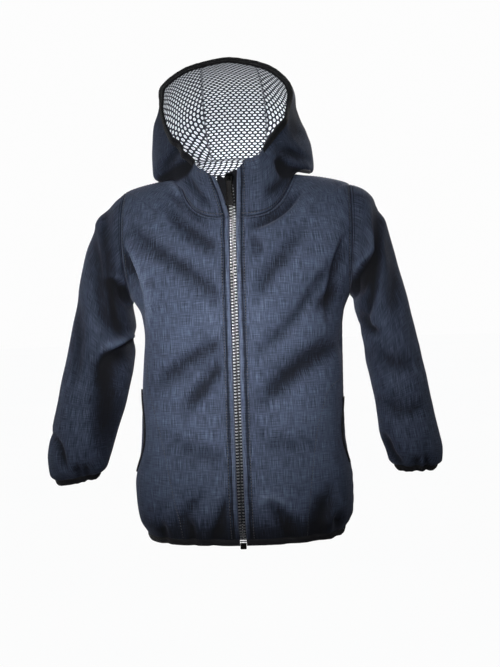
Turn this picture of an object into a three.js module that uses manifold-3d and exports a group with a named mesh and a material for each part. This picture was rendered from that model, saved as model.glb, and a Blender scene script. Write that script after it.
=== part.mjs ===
// A child's hooded softshell jacket, filled out as if worn, with no wearer inside.
// Millimetres, +Z up, the front faces -Y, the wearer's left is +X.
// The origin is the middle of the base of the wearer's neck, where the jacket hangs.
// Every cloth piece is a wall worked out from rings (body, sleeves) or meridians (hood).

import * as THREE from "three";
import { mergeVertices } from "three/addons/utils/BufferGeometryUtils.js";
import Module from "manifold-3d";

const wasm = await Module();
wasm.setup();

// ---- Driving dimensions, mm ----

const CLOTH = 1.6; // softshell, knit face bonded to a fleece back
const NET = 1.0; // net lining of the hood
const BINDING = 2.8; // elastic folded over a cloth edge
const BINDING_WIDTH = 7;
const TAPE = 0.8; // zip tape
const SEAM = 0.3; // gap between two sewn pieces
const PLY_GAP = 0.4; // gap between two plies that lie on each other
const NET_SLACK = 0.4; // the net hangs this much looser than the zip tape
const SHARP_FOLD = 0.45; // cosine between a panel's normal and the seam's, below which it is a fold

const ZIP_EDGE = 4.3; // cloth edge from the middle of the zip
const TEETH_HALF = 4; // one row of teeth, from the middle of the zip
const TEETH_PROUD = 0.6;
const TEETH_DEPTH = 2.4;
const TEETH_TOP = -8.6; // height where the closed teeth run into the slider
const TEETH_BOTTOM = -458.4;
const TAPE_REACH = 20; // outer edge of the zip tape from the middle of the zip
const COLLAR_MIDDLE = 0.7; // share of the hood's front edge where the slider sits
const COLLAR_TOP = 0.9; // share of it that the line of the teeth is drawn to
const TAPE_SPLAY = 0.08; // how far the tape's upper end faces aside
const BOUND_EDGE = 1.6; // thickness of a pocket's bound edge
const POCKET_GAP = 0.7; // gap between it and the front, whose facets bow out between their points
const SLIDER = { middle: -1, height: 14, half: 5.6, core: 3.2, plate: 2.6, back: 1.2, clear: 1 };
const LUG = { radius: 2.9, hole: 1.3, width: 2.8, above: 2 }; // bridge that holds the pull tab
const PULL = { length: 36, top: 8, bottom: 11, thick: 1.4, slot: 3.8, slotEnd: 4.6, shoulder: 2, chamfer: 1 };
const BOX = { half: 3.8, deep: 4, top: -458.8, bottom: -466.5 }; // box at the zip's lower end
// A pocket's bound edge on the torso's levels: its place across the front and its bow to the zip.
const POCKET = {
  width: 0.035,
  left: { bottom: 2.4, top: 3.75, side: 0.92, bow: 0.1 },
  right: { bottom: 2.3, top: 4, side: 0.875, bow: 0.155 },
};

const LEAN = 10; // the hood leans this far to the wearer's right, most at half of LEAN_TOP
const LEAN_TOP = 200;
const COLLAR = {
  left: { open: 7, lift: 8, sag: 2, slim: 28, droop: -3 }, // the front corner of the collar stands up
  right: { open: 13, lift: 0, sag: 18, slim: 2, droop: 13 }, // the front edge falls open, the side sags
};
const BAND_HEIGHT = 50; // net collar band inside the hood

const CORNER_AT = 0.08; // meridian of the collar's front corner
const CORNER_END = 0.26; // meridian where the collar's loose corner ends
const UNDERARM = 6; // torso level of the bottom of the armhole
const SHOULDER_TIP = 12; // torso level of its top
const NECK = 14; // torso level of the neck seam

// Rows of numbers under the names of their columns.
const table = (columns, ...rows) =>
  rows.map((row) => Object.fromEntries(columns.split(" ").map((name, i) => [name, row[i]])));

// Torso rings. half: half width at the side, shift: how far the sides move to +X,
// front/back: Y at the centre, *_z: heights, wrap: degrees the ring has turned at its side,
// ease: how long it keeps the height of its middle.
const TORSO = table(
  "at half shift front back front_z side_z back_z side wrap ease",
  [0, 129, -2, -88, 81, -456, -455, -455, 0, 90, 1.5],
  [1, 139, -2, -97, 90, -434, -432, -433, 0, 90, 1.5],
  [2, 141, -3, -99, 92, -390, -389, -389, 0, 90, 1.5],
  [3, 133, -2.5, -97, 90, -335, -333, -333, 0, 90, 1.5],
  [4, 131, -1, -94, 88, -268, -266, -264, 0, 90, 1.5],
  [5, 129, 2, -91, 88, -205, -195, -200, 0, 90, 1.5],
  [5.5, 132, 2, -90, 88, -181, -170, -176, 1, 90, 1.5],
  [6, 141, 1, -89, 88, -158, -150, -152, 2, 90, 1.5],
  [8, 146, 0, -87.5, 90, -128, -115, -112, 2, 64, 1.5],
  [10, 147, 0, -83.5, 89, -101, -43, -71, 2, 58, 1.5],
  [11, 147, 0, -80, 86, -87, -18, -50, 2, 62, 1.35],
  [12, 146, 0, -77, 81, -72, -8, -30, 2, 68, 1],
  [13, 108, 0, -70, 70, -60, 3, -9, 5, 79, 1.15],
  [14, 74, 0, -62, 58, -48, 8, 8, 8, 90, 1.5],
);
const SQUARE = 0.82; // under 1 the rings are squarer than an ellipse

// Sleeve sections as seen from the front: the outer and the inner point, and Y of front and back.
// The first row is the armhole.
const SLEEVE = {
  left: table(
    "at outer_x outer_z inner_x inner_z front back",
    [0, 146, -8, 142, -150, -51, 52],
    [1, 164, -15, 146, -160, -55, 56],
    [2, 185, -39, 148, -171, -56, 58],
    [3, 197, -71, 151, -188, -54, 57],
    [4, 207, -113, 155, -210, -51, 54],
    [5, 220, -172, 161, -241, -49, 49],
    [6, 231, -224, 167, -268, -50, 42],
    [7, 242, -278, 172, -300, -53, 34],
    [8, 250, -322, 175, -332, -55, 27],
    [9, 256, -352, 181, -352, -54, 22],
    [10, 255, -368, 187, -367, -48, 15],
    [11, 248, -375, 194, -374, -41, 7],
  ),
  right: table(
    "at outer_x outer_z inner_x inner_z front back",
    [0, 146, -8, 142, -150, -51, 52],
    [1, 164, -21, 145, -161, -55, 56],
    [2, 186, -42, 143, -173, -57, 58],
    [3, 198, -72, 141, -190, -56, 58],
    [4, 207, -105, 141, -211, -54, 55],
    [5, 221, -165, 145, -238, -52, 50],
    [6, 232, -222, 150, -262, -53, 43],
    [7, 244, -274, 157, -290, -56, 36],
    [8, 254, -320, 167, -322, -57, 28],
    [9, 260, -354, 177, -351, -55, 22],
    [10, 258, -375, 184, -368, -48, 15],
    [11, 250, -384, 192, -376, -41, 7],
  ),
};
const ARMHOLE_BULGE = 4;

// Hood meridians from the neck seam to the opening, as four control points after the neck point.
// at: 0 at the zip, 0.5 at the shoulder seam, 1 at the middle of the back.
const HOOD = table(
  "at x1 y1 z1 x2 y2 z2 x3 y3 z3 x4 y4 z4",
  [0, 4.3, -62, -31, 4.3, -64, -15, 4.3, -65.5, 1, 4.3, -66, 15],
  [0.15, 37, -60, -29, 38, -64, -8, 36, -66, 8, 32, -67, 23],
  [0.3, 62, -40, -8, 66, -47, 8, 61, -56, 26, 49, -63, 42],
  [0.4, 73, -16, 12, 98, -24, 0, 84, -34, 44, 66, -58, 62],
  [0.5, 78, 8, 30, 142, 6, -28, 106, 4, 62, 82, -53, 79],
  [0.6, 76, 30, 30, 138, 50, -12, 114, 40, 90, 88, -51, 97],
  [0.7, 66, 50, 32, 122, 92, 22, 108, 58, 120, 84, -52, 115],
  [0.85, 38, 60, 32, 62, 122, 72, 54, 62, 154, 40, -58, 146],
  [1, 0, 62, 32, 0, 128, 90, 0, 62, 164, 0, -61, 154],
);

// The zip's line over its height (at): its upper end is drawn to the wearer's right.
const ZIP_LINE = table(
  "at x",
  [-460, 0],
  [-380, -1],
  [-70, -2],
  [-30, -3],
  [10, -6],
);

// The largest folds: a soft trough (or a ridge, where deep is negative) between two points
// of the front or the back as seen from the front. face: -1 front, 1 back.
const TORSO_FOLDS = table(
  "face x1 z1 x2 z2 wide deep",
  [-1, 134, -222, 30, -296, 20, 7],
  [-1, -18, -222, -112, -270, 16, 4],
  [-1, 132, -120, 30, -238, 18, 4],
  [-1, -70, -60, -12, -90, 16, 3.5],
  [-1, -138, -110, -122, -165, 14, 5],
  [1, 120, -200, 20, -262, 22, 5],
  [1, -118, -196, -24, -250, 20, 5],
  [1, -96, -330, 30, -300, 22, 4],
);

// Where the mesh rows lie, in the tables' own levels.
const BODY_STEPS = [0, 0.3, 0.65, 1, 1.5, 2, 2.5, 3, 3.5, 4, 4.5, 5, 5.5];
const ARMHOLE_STEPS = 8;
const SHOULDER_STEPS = [12.6, 13.3, 14];
const FRONT_COLUMNS = 9; // from the zip to the side
const BACK_COLUMNS = 16; // from side to side
const STRIP_COLUMNS = 4; // of the back's columns, those that the hood's centre strip continues
const SLEEVE_ROWS = 14;
const BAND_ROWS = 3;
const HOOD_ROWS = 6; // above the collar band
const BINDING_COLUMN = 2; // the hood column where the binding starts
const LINING_COLUMN = 4; // the hood column where the upper lining starts
const POCKET_ROWS = 9;

const COLOURS = {
  softshell: { color: 0x343a4c, roughness: 0.85, metalness: 0 },
  net: { color: 0xb9bcc4, roughness: 0.9, metalness: 0 },
  elastic: { color: 0x0c0d11, roughness: 0.75, metalness: 0 },
  tape: { color: 0x14151a, roughness: 0.8, metalness: 0 },
  teeth: { color: 0x4a4d54, roughness: 0.35, metalness: 0 },
  slider: { color: 0x16171a, roughness: 0.4, metalness: 0.2 },
};

// ---- Small tools ----

const SIDES = { left: 1, right: -1 };
const RAD = Math.PI / 180;
const vec = (x, y, z) => new THREE.Vector3(x, y, z);
const mix = (a, b, k) => a + (b - a) * k;
const smooth = (v, from, to) => THREE.MathUtils.smoothstep(v, from, to);
const steps = (count, from = 0, to = 1) =>
  Array.from({ length: count + 1 }, (_, i) => mix(from, to, i / count));

// A column of a table at any place between its rows, with no overshoot.
function between(table, column, at) {
  let i = 0;
  while (i < table.length - 2 && at > table[i + 1].at) i++;
  const slope = (k) => (table[k + 1][column] - table[k][column]) / (table[k + 1].at - table[k].at);
  const tangent = (k) => {
    if (k === 0 || k === table.length - 1) return slope(Math.min(k, table.length - 2));
    const before = slope(k - 1);
    const after = slope(k);
    return before * after <= 0 ? 0 : (2 * before * after) / (before + after);
  };
  const width = table[i + 1].at - table[i].at;
  const u = THREE.MathUtils.clamp((at - table[i].at) / width, 0, 1);
  const h = (1 + 2 * u) * (1 - u) ** 2 * table[i][column] + (3 - 2 * u) * u * u * table[i + 1][column];
  return h + (u * (1 - u) ** 2 * tangent(i) - u * u * (1 - u) * tangent(i + 1)) * width;
}

// X of the middle of the zip at a height.
const zipLine = (z) => between(ZIP_LINE, "x", z);

// How deep a point lies in the folds, in mm.
function foldDepth(folds, face, x, z) {
  let depth = 0;
  for (const fold of folds.filter((f) => f.face === face)) {
    const along = new THREE.Vector2(fold.x2 - fold.x1, fold.z2 - fold.z1);
    const from = new THREE.Vector2(x - fold.x1, z - fold.z1);
    const u = THREE.MathUtils.clamp(from.dot(along) / along.lengthSq(), 0, 1);
    const away = from.addScaledVector(along, -u).length();
    depth += fold.deep * Math.sin(Math.PI * mix(0.15, 0.95, u)) * Math.exp(-((away / fold.wide) ** 2));
  }
  return depth;
}

// ---- Surfaces ----

// A point of the armhole and the sleeve. turn: 0 under the arm, PI at the top, rising up the front.
function sleevePoint(name, at, turn) {
  const rows = SLEEVE[name];
  const get = (column) => between(rows, column, at);
  const swing = (1 - Math.cos(turn)) / 2;
  const middle = (get("front") + get("back")) / 2;
  const deep = (get("back") - get("front")) / 2;
  const bulge = ARMHOLE_BULGE * Math.max(0, 1 - at) * Math.sin(turn) ** 2;
  const x = mix(get("inner_x"), get("outer_x"), swing) + bulge;
  const z = mix(get("inner_z"), get("outer_z"), swing);
  return vec(SIDES[name] * x, middle - deep * Math.sin(turn), z);
}

// A point of the body. face: -1 front, 1 back; across: 0 at the centre, 1 at the side.
function torsoPoint(level, name, face, across) {
  const get = (column) => between(TORSO, column, level);
  const end = get("wrap") * RAD;
  const middleY = get(face < 0 ? "front" : "back");
  const middleZ = get(face < 0 ? "front_z" : "back_z");
  let side = vec(SIDES[name] * get("half") + get("shift"), get("side"), get("side_z"));
  if (level >= UNDERARM && level <= SHOULDER_TIP) {
    const up = (Math.PI * (level - UNDERARM)) / (SHOULDER_TIP - UNDERARM);
    side = sleevePoint(name, 0, -face * up);
  }
  const angle = across * end;
  const wide = (side.x * Math.sin(angle) ** SQUARE) / Math.sin(end) ** SQUARE;
  const reach = (1 - Math.cos(angle) ** SQUARE) / (1 - Math.max(0, Math.cos(end)) ** SQUARE);
  const rise = Math.sin((Math.PI / 2) * across ** get("ease")) ** 2;
  const z = mix(middleZ, side.z, rise);
  const y = mix(middleY, side.y, reach);
  const x = wide + (face < 0 ? zipLine(z) * (1 - across) ** 2 : 0);
  const calm = Math.sin(Math.PI * THREE.MathUtils.clamp(across * 1.1 + 0.12, 0, 1)) ** 0.5;
  return vec(x, y - face * foldDepth(TORSO_FOLDS, face, x, z) * calm, z);
}

// How far across the body a cloth edge at distance x from the centre lies.
function acrossAt(level, name, face, x) {
  let low = 0;
  let high = 1;
  for (let i = 0; i < 30; i++) {
    const half = (low + high) / 2;
    const point = torsoPoint(level, name, face, half);
    if (Math.abs(point.x - (face < 0 ? zipLine(point.z) : 0)) < x) low = half;
    else high = half;
  }
  return low;
}

// A point of the neck seam at a hood meridian.
function neckPoint(name, at) {
  if (at > 0.5) return torsoPoint(NECK, name, 1, 2 - 2 * at);
  const start = acrossAt(NECK, name, -1, ZIP_EDGE);
  return torsoPoint(NECK, name, -1, mix(start, 1, at * 2));
}

// A point of the hood. up: 0 at the neck seam, 1 at the opening. The zip tape takes its points
// from the hood as it would close, without the collar's loose front corner.
function hoodPoint(name, at, up, loose = 1) {
  const get = (column) => between(HOOD, column, at);
  const neck = neckPoint(name, at);
  const { open, lift, sag, slim, droop } = COLLAR[name];
  const down = 1 - up;
  const weights = [4 * up * down ** 3, 6 * up ** 2 * down ** 2, 4 * up ** 3 * down, up ** 4];
  const point = neck.clone().multiplyScalar(down ** 4);
  weights.forEach((weight, i) => {
    const n = i + 1;
    const aside = Math.sin(Math.PI * at) ** 4;
    const z = get("z" + n) - (n === 2 ? sag * aside : 0);
    const x = get("x" + n) - (n === 3 ? slim * Math.sin(Math.PI * at) ** 2 : 0);
    const high = Math.sin(Math.PI * THREE.MathUtils.clamp(z / LEAN_TOP, 0, 1)) ** 2;
    const lean = zipLine(z) * Math.max(0, 1 - 2 * at) ** 2 - LEAN * high * smooth(at, 0, 0.4);
    point.addScaledVector(vec(SIDES[name] * x + lean, get("y" + n), z), weight);
  });
  const near = 1 - smooth(at, 0, CORNER_END);
  const corner = smooth(at, 0, CORNER_AT) * (at > CORNER_AT ? near : 1);
  point.x += SIDES[name] * open * near * up * loose;
  point.z += lift * corner * up ** 2 * loose;
  point.z -= droop * Math.sin(Math.PI * Math.min(1, at / 0.6)) ** 2 * up ** 2;
  return point;
}

function meridianLength(name, at) {
  let length = 0;
  for (let i = 1; i <= 40; i++) {
    length += hoodPoint(name, at, i / 40).distanceTo(hoodPoint(name, at, (i - 1) / 40));
  }
  return length;
}

// Where the cloth of the hood stops and its binding starts.
const clothTop = (name, at, bound) => (bound ? 1 - BINDING_WIDTH / meridianLength(name, at) : 1);

// ---- Walls ----

// Adds to each grid point the normal of the cloth there, shared by all panels that meet at it.
// A panel keeps its own normal where it folds back sharply against its neighbour.
function shareNormals(panels) {
  const key = (p) => [p.x, p.y, p.z].map((v) => Math.round(v * 50)).join();
  const put = (sums, id, normal) => sums.set(id, (sums.get(id) ?? vec(0, 0, 0)).add(normal));
  const shared = new Map();
  for (const panel of panels) {
    const { points, closed, turned } = panel;
    const columns = points[0].length;
    panel.own = new Map();
    for (let i = 0; i < points.length - 1; i++) {
      for (let j = 0; j < columns - (closed ? 0 : 1); j++) {
        const k = (j + 1) % columns;
        const corners = [points[i][j], points[i][k], points[i + 1][k], points[i + 1][j]];
        const a = corners[2].clone().sub(corners[0]);
        const b = corners[3].clone().sub(corners[1]);
        const normal = a.cross(b).multiplyScalar(turned ? -1 : 1);
        for (const id of corners.map(key)) {
          put(shared, id, normal);
          put(panel.own, id, normal);
        }
      }
    }
  }
  for (const panel of panels) {
    const pick = (p) => {
      const own = panel.own.get(key(p)).clone().normalize();
      const common = shared.get(key(p)).clone().normalize();
      return common.dot(own) > SHARP_FOLD ? common : own;
    };
    panel.normals = panel.points.map((row) => row.map(pick));
  }
}

// Draws the edges of a panel in by its share of the seam gap.
function drawIn(panel, gap = SEAM / 2) {
  const { points, closed } = panel;
  const last = points.length - 1;
  const pull = (point, toward) => {
    const step = toward.clone().sub(point);
    return point.clone().addScaledVector(step.normalize(), gap);
  };
  const moved = points.map((row) => row.slice());
  moved[0] = points[0].map((p, j) => pull(p, points[1][j]));
  moved[last] = points[last].map((p, j) => pull(p, points[last - 1][j]));
  if (!closed) {
    for (let i = 0; i <= last; i++) {
      const end = points[i].length - 1;
      const inward = points[i][1].clone().sub(points[i][0]).normalize();
      const outward = points[i][end - 1].clone().sub(points[i][end]).normalize();
      moved[i][0] = moved[i][0].clone().addScaledVector(inward, gap);
      moved[i][end] = moved[i][end].clone().addScaledVector(outward, gap);
    }
  }
  panel.points = moved;
}

// A closed wall on a grid of points: proud in front of them, deep behind them.
function wall(panel, deep, proud = 0) {
  const { points, normals, closed, turned } = panel;
  const rows = points.length;
  const columns = points[0].length;
  const positions = [];
  for (const offset of [proud, -deep]) {
    for (let i = 0; i < rows; i++) {
      for (let j = 0; j < columns; j++) {
        positions.push(...points[i][j].clone().addScaledVector(normals[i][j], offset).toArray());
      }
    }
  }
  const face = (i, j) => i * columns + (j % columns);
  const behind = (i, j) => rows * columns + face(i, j);
  const index = [];
  const quad = (a, b, c, d) => index.push(...(turned ? [a, d, b, b, d, c] : [a, b, c, a, c, d]));
  const corner = (n) => vec(...positions.slice(3 * n, 3 * n + 3));
  // A wall along a seam is split on its shorter diagonal, so that its neighbour's is split alike.
  const seamQuad = (a, b, c, d) => {
    const short = corner(a).distanceTo(corner(c)) < corner(b).distanceTo(corner(d));
    const split = short ? [a, b, c, a, c, d] : [a, b, d, b, c, d];
    index.push(...(turned ? split.reverse() : split));
  };
  const across = closed ? columns : columns - 1;
  for (let i = 0; i < rows - 1; i++) {
    for (let j = 0; j < across; j++) {
      quad(face(i, j), face(i, j + 1), face(i + 1, j + 1), face(i + 1, j));
      quad(behind(i, j), behind(i + 1, j), behind(i + 1, j + 1), behind(i, j + 1));
    }
    if (!closed) {
      const end = columns - 1;
      seamQuad(face(i, 0), face(i + 1, 0), behind(i + 1, 0), behind(i, 0));
      seamQuad(face(i, end), behind(i, end), behind(i + 1, end), face(i + 1, end));
    }
  }
  for (let j = 0; j < across; j++) {
    const top = rows - 1;
    seamQuad(face(0, j), behind(0, j), behind(0, j + 1), face(0, j + 1));
    seamQuad(face(top, j), face(top, j + 1), behind(top, j + 1), behind(top, j));
  }
  const geometry = new THREE.BufferGeometry();
  geometry.setAttribute("position", new THREE.Float32BufferAttribute(positions, 3));
  geometry.setIndex(index);
  return geometry;
}

const jacket = new THREE.Group();

function add(name, geometry, finish) {
  const mesh = new THREE.Mesh(geometry, new THREE.MeshStandardMaterial(COLOURS[finish]));
  mesh.name = name;
  jacket.add(mesh);
  return mesh;
}

// ---- Cloth panels ----

const torsoLevels = [
  ...BODY_STEPS,
  ...steps(ARMHOLE_STEPS, UNDERARM, SHOULDER_TIP),
  ...SHOULDER_STEPS,
];

// The columns of a front at one level: the cloth edge, the edge of the zip tape, then even steps.
function frontColumns(level, name) {
  const [edge, tape] = [ZIP_EDGE, TAPE_REACH].map((x) => acrossAt(level, name, -1, x));
  return [edge, ...steps(FRONT_COLUMNS - 1, tape, 1)];
}

function frontPanel(name) {
  const points = torsoLevels.map((level) =>
    frontColumns(level, name).map((across) => torsoPoint(level, name, -1, across)),
  );
  return { name: `front_${name}`, points, turned: name === "right" };
}

function backPanel() {
  const half = BACK_COLUMNS / 2;
  const points = torsoLevels.map((level) => [
    ...steps(half, 1, 0).map((across) => torsoPoint(level, "left", 1, across)),
    ...steps(half).slice(1).map((across) => torsoPoint(level, "right", 1, across)),
  ]);
  return { name: "back", points };
}

function sleevePanel(name) {
  const turns = Array.from({ length: 2 * ARMHOLE_STEPS }, (_, i) => (Math.PI * i) / ARMHOLE_STEPS);
  const points = steps(SLEEVE_ROWS, 0, SLEEVE[name].at(-1).at).map((at) =>
    turns.map((turn) => sleevePoint(name, at, turn)),
  );
  return { name: `sleeve_${name}`, points, closed: true, turned: name === "left" };
}

const stripEdge = 1 - STRIP_COLUMNS / BACK_COLUMNS / 2;

// The hood's columns continue those of the torso across the neck seam.
function hoodColumns(name) {
  const [edge, ...rest] = frontColumns(NECK, name);
  const front = [0, ...rest.map((across) => (across - edge) / (1 - edge) / 2)];
  const rear = steps((BACK_COLUMNS - STRIP_COLUMNS) / 2, 0.5, stripEdge);
  return [...front, ...rear.slice(1)].map((at, i) => ({ name, at, bound: i >= BINDING_COLUMN }));
}

const strip = [
  ...steps(STRIP_COLUMNS / 2, stripEdge, 1).map((at) => ({ name: "left", at, bound: true })),
  ...steps(STRIP_COLUMNS / 2, 1, stripEdge).slice(1).map((at) => ({ name: "right", at, bound: true })),
];

// The heights of the hood's rows at one column: the collar band, then the rest up to the binding.
function hoodRows({ name, at, bound }) {
  const top = clothTop(name, at, bound);
  const band = Math.min(BAND_HEIGHT / meridianLength(name, at), top * 0.8);
  return [...steps(BAND_ROWS, 0, band), ...steps(HOOD_ROWS, band, top).slice(1)];
}

function hoodPanel(panelName, columns, turned) {
  const lines = columns.map((c) => hoodRows(c).map((up) => hoodPoint(c.name, c.at, up)));
  const points = lines[0].map((_, i) => lines.map((line) => line[i]));
  return { name: panelName, points, turned };
}

const fronts = Object.keys(SIDES).map(frontPanel);
const back = backPanel();
const sleeves = Object.keys(SIDES).map(sleevePanel);
const hoodSides = Object.keys(SIDES).map((name) =>
  hoodPanel(`hood_side_${name}`, hoodColumns(name), name === "right"),
);
const hoodCentre = hoodPanel("hood_centre", strip, false);
const shell = [...fronts, back, ...sleeves, ...hoodSides, hoodCentre];

// ---- Bindings: a band that carries on from a cloth edge ----

const towards = (from, to) => to.clone().sub(from).normalize();

// Carries an edge on past its last row, turned a little towards a direction.
function carryOn(edge, before, bend, width = BINDING_WIDTH) {
  return edge.map((p, j) => {
    const step = towards(before[j], p).add(bend).normalize();
    return p.clone().addScaledVector(step, width);
  });
}

function hemBinding() {
  const edges = [0, 1].map((i) => [
    ...fronts[0].points[i],
    ...back.points[i].slice(1),
    ...fronts[1].points[i].slice(0, -1).reverse(),
  ]);
  const lower = carryOn(edges[0], edges[1], vec(0, 0, -0.35));
  return { name: "hem_binding", points: [lower, edges[0]] };
}

function cuffBinding(sleeve, name) {
  const [before, edge] = sleeve.points.slice(-2);
  const lower = carryOn(edge, before, vec(0, 0, -0.5));
  return { name: `cuff_binding_${name}`, points: [edge, lower], closed: true, turned: sleeve.turned };
}

function hoodBinding() {
  const columns = [
    ...hoodColumns("left").slice(BINDING_COLUMN),
    ...strip.slice(1, -1),
    ...hoodColumns("right").slice(BINDING_COLUMN).reverse(),
  ];
  const low = columns.map((c) => hoodPoint(c.name, c.at, clothTop(c.name, c.at, true)));
  return { name: "hood_binding", points: [low, columns.map((c) => hoodPoint(c.name, c.at, 1))] };
}

const bindings = [
  hemBinding(),
  ...Object.keys(SIDES).map((name, i) => cuffBinding(sleeves[i], name)),
  hoodBinding(),
];
shareNormals([...shell, ...bindings]);

// ---- Net lining and zip tape: plies behind the cloth ----

// Part of one or more panels side by side, moved behind them.
function ply(name, sources, rows, columns, distance, turned = false) {
  const cut = (grid, i) => sources.flatMap((panel, k) => {
    const line = panel[grid][i].slice(...(columns[k] ?? []));
    return panel.mirrored ? line.reverse() : line;
  });
  const levels = steps(rows[1] - rows[0], ...rows).map(Math.round);
  const normals = levels.map((i) => cut("normals", i));
  const points = levels.map((i, r) =>
    cut("points", i).map((p, j) => p.clone().addScaledVector(normals[r][j], -distance)),
  );
  return { name, points, normals, turned };
}

const behind = CLOTH + PLY_GAP;
const lined = behind + NET_SLACK;
const topRow = BAND_ROWS + HOOD_ROWS;
const netSides = hoodSides.map((side) => ({ ...side }));
const netCentre = { ...hoodCentre };
shareNormals([...netSides, netCentre]);
const rightSide = { ...netSides[1], mirrored: true };
const lining = [
  ply("collar_lining", [netSides[0], netCentre, rightSide], [0, BAND_ROWS], [[1], [1, -1], [1]], lined),
  ply("hood_lining_centre", [netCentre], [BAND_ROWS, topRow], [[]], lined),
  ...netSides.map((side, i) => {
    const name = `hood_lining_${Object.keys(SIDES)[i]}`;
    return ply(name, [side], [BAND_ROWS, topRow], [[LINING_COLUMN]], lined, side.turned);
  }),
];

// The zip tape lies behind the first columns of a front and of the hood's side.
function zipTape(i) {
  const name = Object.keys(SIDES)[i];
  const body = ply("", [fronts[i]], [0, fronts[i].points.length - 1], [[0, 2]], behind);
  const closed = steps(BAND_ROWS + 1).slice(1).map((up) =>
    [0, hoodColumns(name)[1].at].map((at) => hoodPoint(name, at, up, 0)),
  );
  const flat = [SIDES[name] * TAPE_SPLAY, -1, 0];
  const normals = closed.map((row) => row.map(() => vec(...flat).normalize()));
  const upper = closed.map((row, r) =>
    row.map((p, j) => p.clone().addScaledVector(normals[r][j], -behind)),
  );
  return {
    name: `zip_tape_${name}`,
    points: [...body.points, ...upper],
    normals: [...body.normals, ...normals],
    turned: fronts[i].turned,
  };
}

// One row of closed teeth as a plain strip, flush with the cloth edges.
function teethStrip(i) {
  const side = SIDES[Object.keys(SIDES)[i]];
  const levels = fronts[i].points.map((row) => row[0]).filter((p) => p.z > TEETH_BOTTOM);
  const collar = hoodPoint("left", 0, COLLAR_TOP, 0);
  const up = (TEETH_TOP - levels.at(-1).z) / (collar.z - levels.at(-1).z);
  levels.push(levels.at(-1).clone().lerp(collar, up));
  levels[0] = levels[0].clone().setZ(TEETH_BOTTOM);
  const points = levels.map((p) => [SEAM / 2, TEETH_HALF].map((x) => vec(side * x + zipLine(p.z), p.y, p.z)));
  const normals = points.map((row) => row.map(() => vec(0, -1, 0)));
  return { name: `zip_teeth_${Object.keys(SIDES)[i]}`, points, normals, turned: side < 0 };
}

// The bound edge of a side pocket, lying on the front near the side seam.
function pocketBinding(i) {
  const name = Object.keys(SIDES)[i];
  const { bottom: foot, top, side, bow } = POCKET[name];
  const points = steps(POCKET_ROWS, foot, top).map((level) => {
    const across = side - bow * Math.sin((Math.PI * (level - foot)) / (top - foot));
    return [0, POCKET.width].map((w) => torsoPoint(level, name, -1, across + w));
  });
  return { name: `pocket_binding_${name}`, points, turned: fronts[i].turned };
}

const tapes = fronts.map((_, i) => zipTape(i));
const teeth = fronts.map((_, i) => teethStrip(i));
const pockets = fronts.map((_, i) => pocketBinding(i));
shareNormals(pockets);

for (const panel of [...shell, ...bindings, ...lining, ...tapes]) drawIn(panel);
for (const panel of shell) add(panel.name, wall(panel, CLOTH), "softshell");
for (const panel of bindings) {
  const proud = (BINDING - CLOTH) / 2;
  add(panel.name, wall(panel, BINDING - proud, proud), "elastic");
}
for (const panel of lining) add(panel.name, wall(panel, NET), "net");
for (const panel of tapes) add(panel.name, wall(panel, TAPE), "tape");
for (const panel of teeth) add(panel.name, wall(panel, TEETH_DEPTH, TEETH_PROUD), "teeth");
for (const panel of pockets) add(panel.name, wall(panel, -POCKET_GAP, POCKET_GAP + BOUND_EDGE), "elastic");

// ---- Hard pieces of the zip ----

// The union of closed shapes, as one closed shape.
function join(...geometries) {
  const solids = geometries.map((geometry) => {
    geometry.deleteAttribute("normal");
    geometry.deleteAttribute("uv");
    const merged = mergeVertices(geometry);
    const vertProperties = merged.attributes.position.array;
    const triVerts = new Uint32Array(merged.index.array);
    return new wasm.Manifold(new wasm.Mesh({ numProp: 3, vertProperties, triVerts }));
  });
  const mesh = solids.reduce((all, solid) => all.add(solid)).getMesh();
  const geometry = new THREE.BufferGeometry();
  geometry.setAttribute("position", new THREE.Float32BufferAttribute(mesh.vertProperties, 3));
  geometry.setIndex(Array.from(mesh.triVerts));
  return geometry;
}

const outline = (points) => new THREE.Shape(points.map(([x, y]) => new THREE.Vector2(x, y)));
const extrude = (shape, depth, curveSegments = 10) =>
  new THREE.ExtrudeGeometry(shape, { depth, bevelEnabled: false, curveSegments });

// Y of the cloth's face beside the slider.
const sliderY = hoodPoint("left", 0, COLLAR_MIDDLE, 0).y;
const hinge = vec(
  zipLine(SLIDER.middle),
  sliderY - SLIDER.clear - SLIDER.plate - LUG.above,
  SLIDER.middle + LUG.above,
);

// Two plates joined by a core that runs between the tapes, and the bridge in front.
function slider() {
  const { half, core, plate, back, clear, height, middle } = SLIDER;
  const front = -clear;
  const rear = CLOTH + PLY_GAP + TAPE + clear;
  const section = [
    [-half, front - plate], [half, front - plate], [half, front], [core, front],
    [core, rear], [half, rear], [half, rear + back], [-half, rear + back],
    [-half, rear], [-core, rear], [-core, front], [-half, front],
  ];
  const body = extrude(outline(section), height).translate(hinge.x, sliderY, middle - height / 2);
  const ring = new THREE.Shape().absarc(0, 0, LUG.radius, 0, 2 * Math.PI);
  ring.holes.push(new THREE.Path().absarc(0, 0, LUG.hole, 0, 2 * Math.PI, true));
  const lug = extrude(ring, LUG.width).translate(0, 0, -LUG.width / 2).rotateY(Math.PI / 2);
  return join(body, lug.translate(hinge.x, hinge.y, hinge.z));
}

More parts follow.
